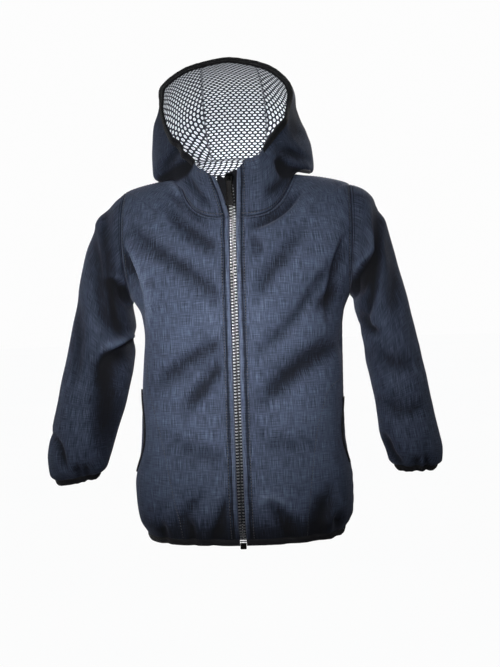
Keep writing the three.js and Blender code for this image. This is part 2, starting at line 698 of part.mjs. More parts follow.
// The tab hangs from the bridge by the bar above its slot.
function pullTab() {
  const { length, top, bottom: foot, thick, slot, slotEnd, shoulder, chamfer } = PULL;
  const bar = thick / 2;
  const shape = outline([
    [-top / 2, bar], [-top / 2, -length / 2], [-foot / 2, shoulder - length],
    [chamfer - foot / 2, -length], [foot / 2 - chamfer, -length],
    [foot / 2, shoulder - length], [top / 2, -length / 2], [top / 2, bar],
  ]);
  const window = [[-slot / 2, -bar], [slot / 2, -bar], [slot / 2, -slotEnd], [-slot / 2, -slotEnd]];
  shape.holes.push(new THREE.Path(window.map(([x, y]) => new THREE.Vector2(x, y))));
  const plate = extrude(shape, thick).translate(0, 0, -thick / 2).rotateX(Math.PI / 2);
  return plate.translate(hinge.x, hinge.y, hinge.z);
}

function zipBox() {
  const { half, deep, top, bottom: foot } = BOX;
  const face = fronts[0].points[1][0].y - TEETH_PROUD;
  const box = new THREE.BoxGeometry(2 * half, deep, top - foot);
  return box.translate(0, face + deep / 2, (top + foot) / 2);
}

add("zip_slider", slider(), "slider");
add("zip_pull", pullTab(), "slider");
add("zip_box", zipBox(), "slider");

export default jacket;
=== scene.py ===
"""A child's hooded softshell jacket, filled out as worn: cloth, net lining, bindings, zip and stitches."""

import math

import bpy
import numpy as np
from mathutils import Matrix, Vector
from mathutils.bvhtree import BVHTree


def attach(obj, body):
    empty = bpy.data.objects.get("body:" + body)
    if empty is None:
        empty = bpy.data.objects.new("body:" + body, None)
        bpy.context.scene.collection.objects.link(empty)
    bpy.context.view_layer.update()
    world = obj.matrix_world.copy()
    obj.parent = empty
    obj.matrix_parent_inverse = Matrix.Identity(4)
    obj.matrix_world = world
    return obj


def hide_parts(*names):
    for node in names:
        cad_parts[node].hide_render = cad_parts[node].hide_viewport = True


bl_info = {
    "name": "Softshell jacket",
    "version": (1, 0, 0),
    "blender": (4, 5, 0),
    "location": "View3D > Sidebar > Jacket",
    "description": "Builds the cloth, lining, bindings, zip and stitches of a hooded softshell jacket",
    "category": "Object",
}

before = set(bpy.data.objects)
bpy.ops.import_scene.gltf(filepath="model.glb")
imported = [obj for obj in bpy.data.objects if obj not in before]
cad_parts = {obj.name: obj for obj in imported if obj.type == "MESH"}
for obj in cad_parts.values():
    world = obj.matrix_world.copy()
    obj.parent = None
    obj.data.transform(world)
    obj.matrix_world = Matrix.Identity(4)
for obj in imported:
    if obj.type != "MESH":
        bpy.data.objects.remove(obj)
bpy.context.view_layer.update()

MM = 0.001
SIDES = {"left": 1, "right": -1}
FACES = {"front": -1, "back": 1}

# ---- The cut, in millimetres: +Z up, the front faces -Y, the wearer's left is +X ----

UNDERARM, SHOULDER_TIP, NECK = 6, 12, 14  # levels of the body
SQUARE = 0.82  # the body's section: 1 is an ellipse, less is squarer
ARMHOLE_BULGE = 4
ARM_STEPS = 44  # from the underarm to the shoulder's tip
ZIP_EDGE, TAPE_REACH = 4.3, 20  # from the middle of the zip to the cloth's edge and the tape's
TAPE_TOP = 0.93  # how far up the collar the tape reaches
TEETH_BOTTOM, TEETH_TOP, SLIDER_TOP = -458.4, -8.6, 6.0
HINGE = (-5.09, -70.53, 1.0)  # the middle of the pull tab's axis
BINDING_WIDTH, OVERLAP = 7, 1.6  # the folded elastic, and how far it reaches over the cloth
# Each pocket: its bottom and top level, its place across the front and its bow towards the zip.
POCKET = {"left": (2.4, 3.75, 0.92, 0.1), "right": (2.3, 4.0, 0.875, 0.155)}
POCKET_WIDTH = 0.035
BAG_STITCHES = {
    "left": [(129, -257), (116, -267), (110, -275), (107, -284), (97, -319), (89, -374), (80, -452)],
    "right": [(-120, -235), (-118, -262), (-98, -341), (-84, -411), (-79, -436), (-77, -451)],
}
BAND_HEIGHT, BAND_ROWS, CROWN_ROWS = 50, 20, 56  # the collar's band, and the rows of the hood's grid
LEAN, LEAN_TOP = 10, 200  # the hood leans aside, most at half this height
CORNER_AT, CORNER_END = 0.08, 0.26  # the collar's front corner
BOUND_FROM = {"left": 0.25, "right": 0.285}  # the hood's opening is bound from these meridians round
CROWN_ROUND = 0.085  # how far the crown's highest line is rounded
HOOD_ROLL = 6.0  # the hood's bound edge rolls in at the top
PLY, NET_GAP = 2.0, 0.4  # from the cloth's face to what lies behind it, and on to the net
NET_IN, NET_UP = 56, 84  # keep the net out of the hood's lower folds; a sixteenth of it at the most
SEAM_PUCKER, HEM_WAVE, CUFF_WAVE = 0.25, 0.5, 0.8
BLOUSE = 1.2  # how far the cloth puffs out above the elastic hem
CREASE_DEPTH = 3.1
CREASE_LIMIT = {"torso": 13, "sleeve": 9, "hood": 6}  # none goes deeper into the form than this
SHADE_DEPTH = -0.025  # painted shade: how much darker a trough is painted for each millimetre of its depth
WELT, TOPSTITCH, ZIP_STITCH = 6.8, 4.0, 9.8  # from the edge to the zip's welt seam and to the stitches
SAME_WAY = 0.45  # panels whose normals agree less than this keep their own
THREAD_RADIUS, LIFT = 0.46, 0.1  # a topstitch, and how far it lies off the cloth
SEWN_EDGES = {
    "front": ["last", "top"],
    "back": ["first", "last", "top"],
    "sleeve": ["bottom"],
    "hood_centre": ["first", "last", "bottom"],
    "hood_side": ["last", "bottom"],
}
CAMERA_DISTANCE, CAMERA_HEIGHT = 1.85, -0.152  # in metres
CAMERA_TURN, CAMERA_ROLL = math.radians(4.5), math.radians(1.85)
AIM_RIGHT, AIM_UP = 0.0118, -0.0459  # where the camera aims, beside and above the middle, in metres


def table(text):
    """A table of measures: its first line names the columns."""
    names, *rows = [line.split() for line in text.strip().splitlines()]
    values = np.array(rows, float).T
    return dict(zip(names, values))


TORSO = table(
    """
    at  half shift front back front_z side_z back_z side wrap ease
    0   129  -2    -88   81   -456    -455   -455   0    90   1.5
    1   139  -2    -97   90   -434    -432   -433   0    90   1.5
    2   141  -3    -99   92   -390    -389   -389   0    90   1.5
    3   133  -2.5  -97   90   -335    -333   -333   0    90   1.5
    4   131  -1    -94   88   -268    -266   -264   0    90   1.5
    5   129   2    -91   88   -205    -195   -200   0    90   1.5
    5.5 132   2    -90   88   -181    -170   -176   1    90   1.5
    6   141   1    -89   88   -158    -150   -152   2    90   1.5
    8   146   0    -87.5 90   -128    -115   -112   2    64   1.5
    10  147   0    -83.5 89   -101    -43    -71    2    58   1.5
    11  147   0    -80   86   -87     -18    -50    2    62   1.35
    12  146   0    -77   81   -72     -8     -30    2    68   1
    13  108   0    -70   70   -60     3      -9     5    79   1.15
    14  74    0    -62   58   -48     8      8      8    90   1.5
    """
)
SLEEVE = {
    "left": table(
        """
        at outer_x outer_z inner_x inner_z front back
        0  146     -8      142     -150    -51   52
        1  164     -15     146     -160    -55   56
        2  185     -39     148     -171    -56   58
        3  197     -71     151     -188    -54   57
        4  207     -113    155     -210    -51   54
        5  220     -172    161     -241    -49   49
        6  231     -224    167     -268    -50   42
        7  242     -278    172     -300    -53   34
        8  250     -322    175     -332    -55   27
        9  256     -352    181     -352    -54   22
        10 255     -368    187     -367    -48   15
        11 248     -375    194     -374    -41   7
        """
    ),
    "right": table(
        """
        at outer_x outer_z inner_x inner_z front back
        0  146     -8      142     -150    -51   52
        1  164     -21     145     -161    -55   56
        2  186     -42     143     -173    -57   58
        3  198     -72     141     -190    -56   58
        4  207     -105    141     -211    -54   55
        5  221     -165    145     -238    -52   50
        6  232     -222    150     -262    -53   43
        7  244     -274    157     -290    -56   36
        8  254     -320    167     -322    -57   28
        9  260     -354    177     -351    -55   22
        10 258     -375    184     -368    -48   15
        11 250     -384    192     -376    -41   7
        """
    ),
}
# Four control points from the neck seam to the opening; at is 0 at the zip, 0.5 at the shoulder
# and 1 at the back.
HOOD = table(
    """
    at   x1  y1  z1  x2  y2  z2  x3  y3    z3  x4  y4  z4
    0    4.3 -62 -31 4.3 -64 -15 4.3 -65.5 1   4.3 -66 15
    0.15 37  -60 -29 38  -64 -8  36  -66   8   32  -67 23
    0.3  62  -40 -8  66  -47 8   61  -56   26  49  -63 42
    0.4  73  -16 12  98  -24 0   84  -34   44  66  -58 62
    0.5  78  8   30  142 6   -28 106 4     62  82  -53 79
    0.6  76  30  30  138 50  -12 114 40    90  88  -51 97
    0.7  66  50  32  122 92  22  108 58    120 84  -52 115
    0.85 38  60  32  62  122 72  54  62    154 40  -58 146
    1    0   62  32  0   128 90  0   62    164 0   -61 154
    """
)
COLLAR = {
    "left": {"open": 7, "lift": 8, "sag": 26, "slim": 28, "droop": -3, "dip": 2, "settle": 0},
    "right": {"open": 13, "lift": 0, "sag": 39, "slim": 12, "droop": 13, "dip": 12, "settle": 5},
}
ZIP_LINE = table(
    """
    at   x
    -460 0
    -380 -1
    -70  -2
    -30  -3
    10   -6
    """
)
# The largest folds: face, from x z, to x z, width and depth.
BIG_FOLDS = [
    (-1, 134, -222, 30, -296, 20, 7),
    (-1, -18, -222, -112, -270, 16, 4),
    (-1, 132, -120, 30, -238, 18, 4),
    (-1, -70, -60, -12, -90, 16, 3.5),
    (-1, -138, -110, -122, -165, 14, 5),
    (1, 120, -200, 20, -262, 22, 5),
    (1, -118, -196, -24, -250, 20, 5),
    (1, -96, -330, 30, -300, 22, 4),
]


def crease_table(text):
    """Creases, listed by piece and face."""
    groups = {}
    for words in (line.split() for line in text.strip().splitlines()):
        if words[1] in FACES:
            group = groups.setdefault((words[0], FACES[words[1]]), [])
        else:
            path = [tuple(map(float, spot.split(","))) for spot in words[3:]]
            group.append((*map(float, words[:3]), path))
    return groups


# Each line: the depth (negative for a ridge), the width on the left and on the right, and x,z points.
CREASES = crease_table(
    """
    torso front
    3.5 9 16 134,-214 84,-239 37,-277
    2.5 12 8 -20,-204 -60,-225 -108,-258
    3.2 11 9 -10,-226 -42,-257 -68,-290
    2.6 9 13 -134,-55 -110,-78 -76,-103 -38,-134 -15,-156
    2.6 8 11 -84,-32 -58,-62 -20,-90
    4.5 6 10 -147,-84 -137,-106 -129,-124
    -2.2 5 4 -140,-80 -124,-112 -114,-144 -115,-186
    3.2 10 3 138,-80 127,-109 119,-145 114,-183
    3.4 8 9 106,-166 116,-158 128,-146
    4.2 11 5 -10,-385 -24,-420 -39,-460
    2.4 8 9 -52,-396 -72,-421 -80,-440
    3.2 4 5 -66,-432 -63,-460
    3 12 7 38,-408 52,-430 59,-462
    4 8 14 112,-404 100,-434 92,-465
    -2 7 7 22,-406 41,-401 62,-420
    3 5 5 120,-430 117,-460
    2.5 5 5 -104,-436 -100,-460
    -2 3 5 -88,2 -66,-19 -40,-47
    2.2 4 5 -80,-14 -60,-33 -36,-55
    2.4 9 11 84,-72 51,-112 30,-148
    1.8 7 8 120,-116 92,-157 62,-192 28,-222
    3 6 7 80,-20 55,-44 20,-62
    1.6 9 9 22,-72 30,-100
    1.2 10 10 -100,-320 -50,-345 -16,-350
    1.2 9 10 20,-320 60,-335 100,-330
    torso back
    3 8 12 -146,-90 -126,-124 -112,-176
    3.4 11 7 146,-86 124,-122 113,-170
    2.4 9 9 -62,-16 -44,-46 -18,-70
    2.2 8 10 58,-18 40,-50 12,-66
    2 12 10 126,-70 84,-104 40,-116
    1.8 10 12 -124,-62 -86,-92 -46,-110
    2.4 12 9 110,-310 60,-336 14,-344
    3.4 6 10 -52,-396 -62,-430 -72,-460
    3 9 5 24,-404 20,-430 26,-460
    3.6 7 8 92,-408 98,-436 94,-462
    2.6 5 5 -104,-430 -108,-460
    2.4 5 5 -18,-428 -14,-460
    sleeve_right front
    3 11 5 -172,-30 -173,-60 -167,-103 -157,-180 -142,-204
    3 8 9 -188,-60 -180,-109 -173,-161 -158,-195
    8 15 3.5 -134,-200 -156,-213 -172,-221 -181,-238
    -3 4 8 -136,-196 -156,-206 -172,-213
    5 12 14 -178,-234 -172,-256 -172,-290 -176,-330
    3.4 4 7 -160,-134 -157,-162 -149,-190
    13 5 8 -164,-126 -154,-131 -143,-146
    -2 5 5 -166,-118 -152,-123 -142,-134
    3.5 4 5 -250,-320 -237,-338 -231,-362
    2 10 10 -214,-150 -210,-200 -216,-250
    2.5 4 4 -214,-362 -213,-380
    2.5 4 4 -203,-362 -204,-380
    sleeve_right back
    4 9 6 -180,-40 -176,-100 -160,-160
    5 12 6 -146,-196 -176,-214 -206,-216
    3.5 9 11 -196,-240 -204,-290 -214,-340
    6 7 7 -160,-124 -150,-142
    3 4 5 -236,-350 -230,-380
    sleeve_left front
    5 5 8 184,-36 184,-70 181,-100 173,-145 160,-184
    -2.2 5 5 174,-70 172,-104 164,-146
    15 9 6 177,-106 166,-120 154,-136 143,-148
    -2.4 6 5 176,-96 162,-108 150,-124
    5 4 6 157,-181 164,-194 175,-200
    3.4 5 5 180,-334 188,-356 200,-372
    2.4 8 10 196,-70 204,-120 198,-176
    2 10 10 172,-226 196,-240 222,-238
    2 10 8 182,-290 206,-300 232,-294
    2.6 4 4 222,-362 220,-384
    2.4 4 4 234,-358 235,-382
    sleeve_left back
    4 6 9 182,-44 178,-104 162,-164
    5 6 12 150,-196 180,-218 212,-222
    6 7 7 166,-120 152,-142
    3.5 10 10 190,-270 206,-312 212,-350
    3 4 4 226,-350 224,-382
    hood_left front
    17 7 5 60,20 66,9 84,4 112,4
    3 5 8 60,36 84,31 102,26
    1.6 30 26 104,70 108,50 104,30
    3 7 7 44,-22 62,-8 70,6
    hood_right front
    17 6 8 -60,18 -76,10 -92,3 -116,-4
    1.6 26 30 -110,70 -112,50 -108,30
    3 6 8 -98,22 -80,34 -66,50
    2.5 6 6 -62,6 -50,-14 -32,-34
    hood_left back
    4 10 9 104,120 86,90 70,40
    3 9 9 84,60 50,40 20,36
    hood_right back
    3.6 9 9 -104,110 -92,74 -72,36
    3 8 8 -84,56 -52,38 -22,34
    """
)


def unit(v):
    return v / np.maximum(np.linalg.norm(v, axis=-1, keepdims=True), 1e-9)


def steps(points, axis=0):
    """The distances from point to point of a line or grid."""
    return np.linalg.norm(np.diff(points, axis=axis), axis=-1)


def walked(points, axis=0):
    """The distance of each point from the first, along its line."""
    step = steps(points, axis)
    return np.concatenate([np.zeros_like(step.take([0], axis)), np.cumsum(step, axis)], axis)


def bump_at(s, middle, width):
    """1 at the middle of a soft bump, 0 away from it."""
    return np.exp(-(((s - middle) / width) ** 2))


def to_line(x, z, start, end):
    """How far along a straight line its nearest point lies, from 0 to 1, and the distance to it."""
    dx, dz = end[0] - start[0], end[1] - start[1]
    u = np.clip(((x - start[0]) * dx + (z - start[1]) * dz) / (dx * dx + dz * dz), 0, 1)
    return u, np.hypot(x - start[0] - u * dx, z - start[1] - u * dz)


def smooth(value, start, end):
    """0 before start, 1 after end, with soft ends."""
    t = np.clip((value - start) / (end - start), 0, 1)
    return t * t * (3 - 2 * t)


def between(rows, column, at):
    """A column of a table at any place between its rows, with no overshoot."""
    x, y = rows["at"], rows[column]
    slope = np.diff(y) / np.diff(x)
    before, after = slope[:-1], slope[1:]
    same = before * after > 0
    total = np.where(same, before + after, 1)
    inner = np.where(same, 2 * before * after / total, 0)
    tangent = np.concatenate([slope[:1], inner, slope[-1:]])
    i = np.clip(np.searchsorted(x, at, side="left") - 1, 0, len(x) - 2)
    width = x[i + 1] - x[i]
    u = np.clip((at - x[i]) / width, 0, 1)
    value = (1 + 2 * u) * (1 - u) ** 2 * y[i] + (3 - 2 * u) * u * u * y[i + 1]
    return value + (u * (1 - u) ** 2 * tangent[i] - u * u * (1 - u) * tangent[i + 1]) * width


def zip_line(z):
    return between(ZIP_LINE, "x", z)


def spread(start, end, count, first=1.0, last=1.0, reach=0.06):
    """Steps from start to end, first and last times closer together near the two ends."""
    t = np.linspace(0, 1, 801)
    density = 1 + (first - 1) * np.exp(-t / reach) + (last - 1) * np.exp(-(1 - t) / reach)
    total = np.concatenate([[0], np.cumsum((density[1:] + density[:-1]) / 2)])
    return start + (end - start) * np.interp(np.linspace(0, total[-1], count + 1), total, t)


def big_fold_depth(face, x, z):
    depth = np.zeros_like(x)
    for side, x1, z1, x2, z2, wide, deep in BIG_FOLDS:
        if side == face:
            u, away = to_line(x, z, (x1, z1), (x2, z2))
            depth += deep * np.sin(np.pi * (0.15 + 0.8 * u)) * bump_at(away, 0, wide)
    return depth


def sleeve_point(name, at, turn):
    """A point of the armhole and the sleeve. turn: 0 under the arm, pi at the top, rising up the front."""
    rows = SLEEVE[name]
    at, turn = np.broadcast_arrays(np.asarray(at, float), np.asarray(turn, float))
    swing = (1 - np.cos(turn)) / 2
    front, back = between(rows, "front", at), between(rows, "back", at)
    inner_x, outer_x = between(rows, "inner_x", at), between(rows, "outer_x", at)
    inner_z, outer_z = between(rows, "inner_z", at), between(rows, "outer_z", at)
    bulge = ARMHOLE_BULGE * np.maximum(0, 1 - at) * np.sin(turn) ** 2
    x = inner_x + (outer_x - inner_x) * swing + bulge
    z = inner_z + (outer_z - inner_z) * swing
    y = (front + back) / 2 - (back - front) / 2 * np.sin(turn)
    return np.stack([SIDES[name] * x, y, z], -1)


def torso_point(level, name, face, across):
    """A point of the body. face: -1 front, 1 back; across: 0 at the centre, 1 at the side."""
    level, across = np.broadcast_arrays(np.asarray(level, float), np.asarray(across, float))
    end = np.radians(between(TORSO, "wrap", level))
    middle_y = between(TORSO, "front" if face < 0 else "back", level)
    middle_z = between(TORSO, "front_z" if face < 0 else "back_z", level)
    side_x = SIDES[name] * between(TORSO, "half", level) + between(TORSO, "shift", level)
    side = np.stack([side_x, between(TORSO, "side", level), between(TORSO, "side_z", level)], -1)
    in_armhole = (level > UNDERARM - 1e-6) & (level < SHOULDER_TIP + 1e-6)
    up = np.pi * (level - UNDERARM) / (SHOULDER_TIP - UNDERARM)
    side = np.where(in_armhole[..., None], sleeve_point(name, 0, -face * up), side)
    angle = across * end
    wide = side[..., 0] * np.sin(angle) ** SQUARE / np.sin(end) ** SQUARE
    cosine = np.maximum(0, np.cos(angle)) ** SQUARE
    reach = (1 - cosine) / (1 - np.maximum(0, np.cos(end)) ** SQUARE)
    rise = np.sin(np.pi / 2 * across ** between(TORSO, "ease", level)) ** 2
    z = middle_z + (side[..., 2] - middle_z) * rise
    y = middle_y + (side[..., 1] - middle_y) * reach
    x = wide + (zip_line(z) * (1 - across) ** 2 if face < 0 else 0)
    calm = np.maximum(0, np.sin(np.pi * np.clip(across * 1.1 + 0.12, 0, 1))) ** 0.5
    return np.stack([x, y - face * big_fold_depth(face, x, z) * calm, z], -1)


def across_at(level, name, x):
    """How far across the front a cloth edge at distance x from the middle of the zip lies."""
    level = np.asarray(level, float)
    low, high = np.zeros_like(level), np.ones_like(level)
    for _ in range(30):
        half = (low + high) / 2
        point = torso_point(level, name, -1, half)
        inside = np.abs(point[..., 0] - zip_line(point[..., 2])) < x
        low, high = np.where(inside, half, low), np.where(inside, high, half)
    return low


NECK_EDGE = {name: float(across_at(NECK, name, ZIP_EDGE)) for name in SIDES}


def neck_point(name, at):
    at = np.asarray(at, float)
    start = NECK_EDGE[name]
    front = torso_point(NECK, name, -1, start + (1 - start) * np.clip(at * 2, 0, 1))
    back = torso_point(NECK, name, 1, np.clip(2 - 2 * at, 0, 1))
    return np.where((at > 0.5)[..., None], back, front)


def hood_point(name, at, up, loose=1):
    """A point of the hood. up: 0 at the neck seam, 1 at the opening."""
    at, up = np.broadcast_arrays(np.asarray(at, float), np.asarray(up, float))
    side, collar = SIDES[name], COLLAR[name]
    crown = 1 - (1 - at) * (1 - np.exp(-(1 - at) / CROWN_ROUND))
    down = 1 - up
    weights = [4 * up * down**3, 6 * up**2 * down**2, 4 * up**3 * down, up**4]
    point = neck_point(name, at) * (down**4)[..., None]
    belly = np.maximum(0, np.sin(np.pi * at))
    for n, weight in enumerate(weights, 1):
        z = between(HOOD, f"z{n}", crown) - (collar["sag"] * belly**4 if n == 2 else 0)
        x = between(HOOD, f"x{n}", at) - (collar["slim"] * belly**2 if n == 3 else 0)
        high = np.sin(np.pi * np.clip(z / LEAN_TOP, 0, 1)) ** 2
        lean = zip_line(z) * np.maximum(0, 1 - 2 * at) ** 2 - LEAN * high * smooth(at, 0, 0.4)
        control = np.stack([side * x + lean, between(HOOD, f"y{n}", crown), z], -1)
        point = point + control * weight[..., None]
    near = 1 - smooth(at, 0, CORNER_END)
    corner = smooth(at, 0, CORNER_AT) * np.where(at > CORNER_AT, near, 1)
    low = np.sin(np.pi * np.minimum(1, at / 0.6)) ** 2
    dip = collar["dip"] * (1 - smooth(at, 0, 0.16)) + collar["settle"] * low
    droop = (collar["droop"] * low + dip) * up**2
    aside = side * collar["open"] * near * up * loose
    lift = collar["lift"] * corner * up**2 * loose
    return point + np.stack([aside, np.zeros_like(up), lift - droop], -1)


def meridian_length(name, at):
    ups = np.linspace(0, 1, 41)[:, None]
    return steps(hood_point(name, np.asarray(at, float)[None, :], ups)).sum(0)


# ---- Grids ----


class Panel:
    """A sewn piece as a grid of points on its face, in millimetres."""

    def __init__(self, name, points, turned=False, closed=False, face=None):
        self.name, self.points, self.turned, self.closed = name, points, turned, closed
        self.front = np.zeros(points.shape[:2]) + (0.5 if face is None else face)
        self.seam = np.full(points.shape[:2], 99.0)
        self.shade = np.zeros(points.shape[:2])
        self.normals = None
        self.uv = self.flat_map()

    def along(self, axis):
        """Distance from the first row (axis 0) or column (axis 1), on the cloth."""
        return walked(self.points, axis)

    def ringed(self, points):
        """The grid, with its first column again at its end where the piece is a tube."""
        return np.concatenate([points, points[:, :1]], 1) if self.closed else points

    def flat_map(self):
        """The cloth's own flat coordinates, in metres, as its threads run."""
        points = self.ringed(self.points)
        u, v = walked(points, 1), walked(points, 0)
        if self.closed:
            u -= u[:, [u.shape[1] // 2]]
            v = np.repeat(v.mean(1, keepdims=True), points.shape[1], 1)
        return np.stack([u, v], -1) * MM


def quad_normals(panel, points):
    """The normals of a grid's quads, each twice as long as its area."""
    points = panel.ringed(points)
    first, second = points[1:, 1:] - points[:-1, :-1], points[1:, :-1] - points[:-1, 1:]
    return np.cross(first, second) * (-1 if panel.turned else 1)


def places(panels, key):
    """The number of the place where each of the panels' points lies, and how many points lie at each."""
    spots = [np.round(getattr(panel, key).reshape(-1, 3) * 50).astype(np.int64) for panel in panels]
    _, where, counts = np.unique(np.concatenate(spots), axis=0, return_inverse=True, return_counts=True)
    return where.reshape(-1), counts


def pooled(where, flat):
    """For each point, the sum over all points at its place."""
    total = np.zeros((where.max() + 1, 3))
    np.add.at(total, where, flat)
    return total[where]


def share_normals(panels, key="points"):
    """Normals shared by all panels that meet at a point, apart from where one folds back sharply."""
    sums = []
    for panel in panels:
        points = getattr(panel, key)
        normal = quad_normals(panel, points)
        total = np.zeros((points.shape[0], points.shape[1] + panel.closed, 3))
        for i, j in ((0, 0), (0, 1), (1, 0), (1, 1)):
            total[i : i + normal.shape[0], j : j + normal.shape[1]] += normal
        if panel.closed:
            total[:, 0] += total[:, -1]
            total = total[:, :-1]
        sums.append(total.reshape(-1, 3))
    flat = np.concatenate(sums)
    own, common = unit(flat), unit(pooled(places(panels, key)[0], flat))
    agree = (own * common).sum(-1, keepdims=True) > SAME_WAY
    normals = np.where(agree, common, own)
    for panel, part in zip(panels, np.split(normals, np.cumsum([len(part) for part in sums])[:-1])):
        panel.normals = part.reshape(panel.points.shape)


def fold_line(path):
    """A crease's line as a smooth run of points."""
    p = np.array(path, float)
    p = np.vstack([2 * p[0] - p[1], p, 2 * p[-1] - p[-2]])
    out = []
    for a, b, c, d in zip(p[:-3], p[1:-2], p[2:-1], p[3:]):
        for t in np.linspace(0, 1, 6, endpoint=False):
            curve = 2 * b + (c - a) * t + (2 * a - 5 * b + 4 * c - d) * t**2
            out.append(0.5 * (curve + (3 * b - a - 3 * c + d) * t**3))
    out.append(p[-2])
    return np.array(out)


def crease_depth(piece, face, x, z):
    """How deep the hand-laid creases of a piece are at each point."""
    depth = np.zeros_like(x)
    for deep, left, right, path in CREASES.get((piece, face), []):
        line = fold_line(path)
        best = np.full(x.shape, 1e9)
        sign, along = np.zeros_like(x), np.zeros_like(x)
        for k, (start, end) in enumerate(zip(line, line[1:])):
            u, away = to_line(x, z, start, end)
            over = np.sign((z - start[1]) * (end[0] - start[0]) - (x - start[0]) * (end[1] - start[1]))
            closer = away < best
            best, sign = np.where(closer, away, best), np.where(closer, over, sign)
            along = np.where(closer, (k + u) / (len(line) - 1), along)
        taper = smooth(along, -0.25, 0.3) * (1 - smooth(along, 0.72, 1.2))
        depth += deep * taper * bump_at(best, 0, np.where(sign > 0, left, right))
    return depth * CREASE_DEPTH


def ripple(x, seed):
    """Uneven waves along an edge, between -1 and 1."""
    wave = np.zeros_like(x)
    for k, (length, share) in enumerate(((23, 0.45), (14.3, 0.35), (9.1, 0.2))):
        wave += share * np.sin(2 * np.pi * x / length + seed * (k + 1.7) + 1.3 * np.sin(x / 37 + seed))
    return wave


def calm_waves(p, seed):
    """The slight unevenness of cloth that lies smooth."""
    x, y, z = p[..., 0], p[..., 1], p[..., 2]
    a = np.sin(x / 19 + z / 31 + seed) * np.sin(z / 23 - y / 17 + 2 * seed)
    b = np.sin(x / 9.5 - z / 14 + 3 * seed) * np.sin(z / 11 + y / 13 + seed)
    return 0.55 * a + 0.22 * b


def seam_relief(s, run):
    """Cloth beside a seam: turned in at it, raised over the seam allowance, dipped at the topstitch."""
    allowance = 0.4 * smooth(s, 0.8, 2.4) * (1 - smooth(s, 6.0, 9.0))
    pucker = SEAM_PUCKER * np.sin(run / 2.9 + 0.7 * np.sin(run / 11)) * bump_at(s, TOPSTITCH, 5)
    height = allowance - 0.6 * bump_at(s, 0, 0.9) - 0.35 * bump_at(s, TOPSTITCH, 0.8)
    return height + pucker * smooth(s, 0, 1.5)


def zip_relief(s):
    """The welt beside the teeth: a rounded fold, its seam and the topstitch beyond it."""
    welt = 0.5 * smooth(s, 0.3, 2.2) * (1 - smooth(s, 4.6, 6.4)) + 0.25 * bump_at(s, 8.2, 1.0)
    return welt - 1.4 * bump_at(s, 0, 0.8) - 1.5 * bump_at(s, WELT, 0.75) - 0.45 * bump_at(s, ZIP_STITCH, 0.8)


BODY_LEVELS = np.concatenate(
    [
        spread(0, UNDERARM, 96, first=3, reach=0.04)[:-1],
        np.linspace(UNDERARM, SHOULDER_TIP, ARM_STEPS + 1),
        spread(SHOULDER_TIP, NECK, 22, last=4, reach=0.1)[1:],
    ]
)
FRONT_SHARE = spread(0, 1, 74, first=4.5, last=4, reach=0.05)
BACK_SHARE = np.concatenate(
    [spread(1, 0.25, 50, first=4, last=3, reach=0.05)[:-1], spread(0.25, 0, 12, first=2)]
)
STRIP = 1 - BACK_SHARE[BACK_SHARE <= 0.25] / 2  # the meridians of half the hood's centre strip


def coarse_column(name, number):
    """The hood meridian where one of the frame's own columns lies."""
    edge, tape = NECK_EDGE[name], float(across_at(NECK, name, TAPE_REACH))
    across = tape + (1 - tape) * (number - 1) / 8
    return (across - edge) / (1 - edge) / 2


def hood_columns():
    return np.concatenate([FRONT_SHARE / 2, 1 - BACK_SHARE[BACK_SHARE >= 0.25][1:] / 2])


def cloth_top(name, at, bound=None):
    """Where the hood's cloth stops and its binding starts."""
    start = BOUND_FROM[name]
    share = smooth(at, start - 0.006, start + 0.006) if bound is None else bound
    return 1 - share * BINDING_WIDTH / meridian_length(name, at)


def hood_grid(name, at):
    top = cloth_top(name, at)
    band = np.minimum(BAND_HEIGHT / meridian_length(name, at), top * 0.8)
    lower = spread(0, 1, BAND_ROWS, first=4, last=1.5, reach=0.08)[:, None] * band
    upper = band + spread(0, 1, CROWN_ROWS, first=1.5, last=3, reach=0.05)[1:, None] * (top - band)
    return np.concatenate([lower, upper])


def from_edge(panel, edge):
    """Distance of each point from one edge of a panel, on the cloth."""
    if edge in ("first", "last"):
        along = panel.along(1)
        return along if edge == "first" else along[:, -1:] - along
    along = panel.along(0)
    return along if edge == "bottom" else along[-1:] - along


def make_panels():
    """The sewn pieces of the shell, on the frame's own form."""
    panels = []
    level = BODY_LEVELS[:, None]
    for name, side in SIDES.items():
        start = across_at(BODY_LEVELS, name, ZIP_EDGE)[:, None]
        across = start + (1 - start) * FRONT_SHARE[None, :]
        face = 1 - 0.5 * smooth(across, 0.8, 1)
        panels.append(Panel(f"front_{name}", torso_point(level, name, -1, across), side < 0, face=face))
    left = torso_point(level, "left", 1, BACK_SHARE[None, :])
    right = torso_point(level, "right", 1, BACK_SHARE[::-1][1:][None, :])
    share = np.concatenate([BACK_SHARE, BACK_SHARE[::-1][1:]])
    panels.append(Panel("back", np.concatenate([left, right], 1), face=0.5 * smooth(share, 0.8, 1)[None, :]))
    turns = np.pi * np.arange(2 * ARM_STEPS) / ARM_STEPS
    at = np.concatenate([spread(0, 10, 96, first=4, reach=0.04)[:-1], spread(10, 11, 10, last=1.5)])
    face = smooth(np.sin(turns), -0.35, 0.35)[None, :]
    for name, side in SIDES.items():
        points = sleeve_point(name, at[:, None], turns[None, :])
        panels.append(Panel(f"sleeve_{name}", points, side > 0, closed=True, face=face))
    columns = hood_columns()
    face = 1 - smooth(columns, 0.42, 0.58)[None, :]
    for name, side in SIDES.items():
        points = hood_point(name, columns[None, :], hood_grid(name, columns))
        panels.append(Panel(f"hood_side_{name}", points, side < 0, face=face))
    left, right = [hood_point(name, STRIP[None, :], hood_grid(name, STRIP)) for name in SIDES]
    panels.append(Panel("hood_centre", np.concatenate([left, right[:, ::-1][:, 1:]], 1), face=0))
    return {panel.name: panel for panel in panels}


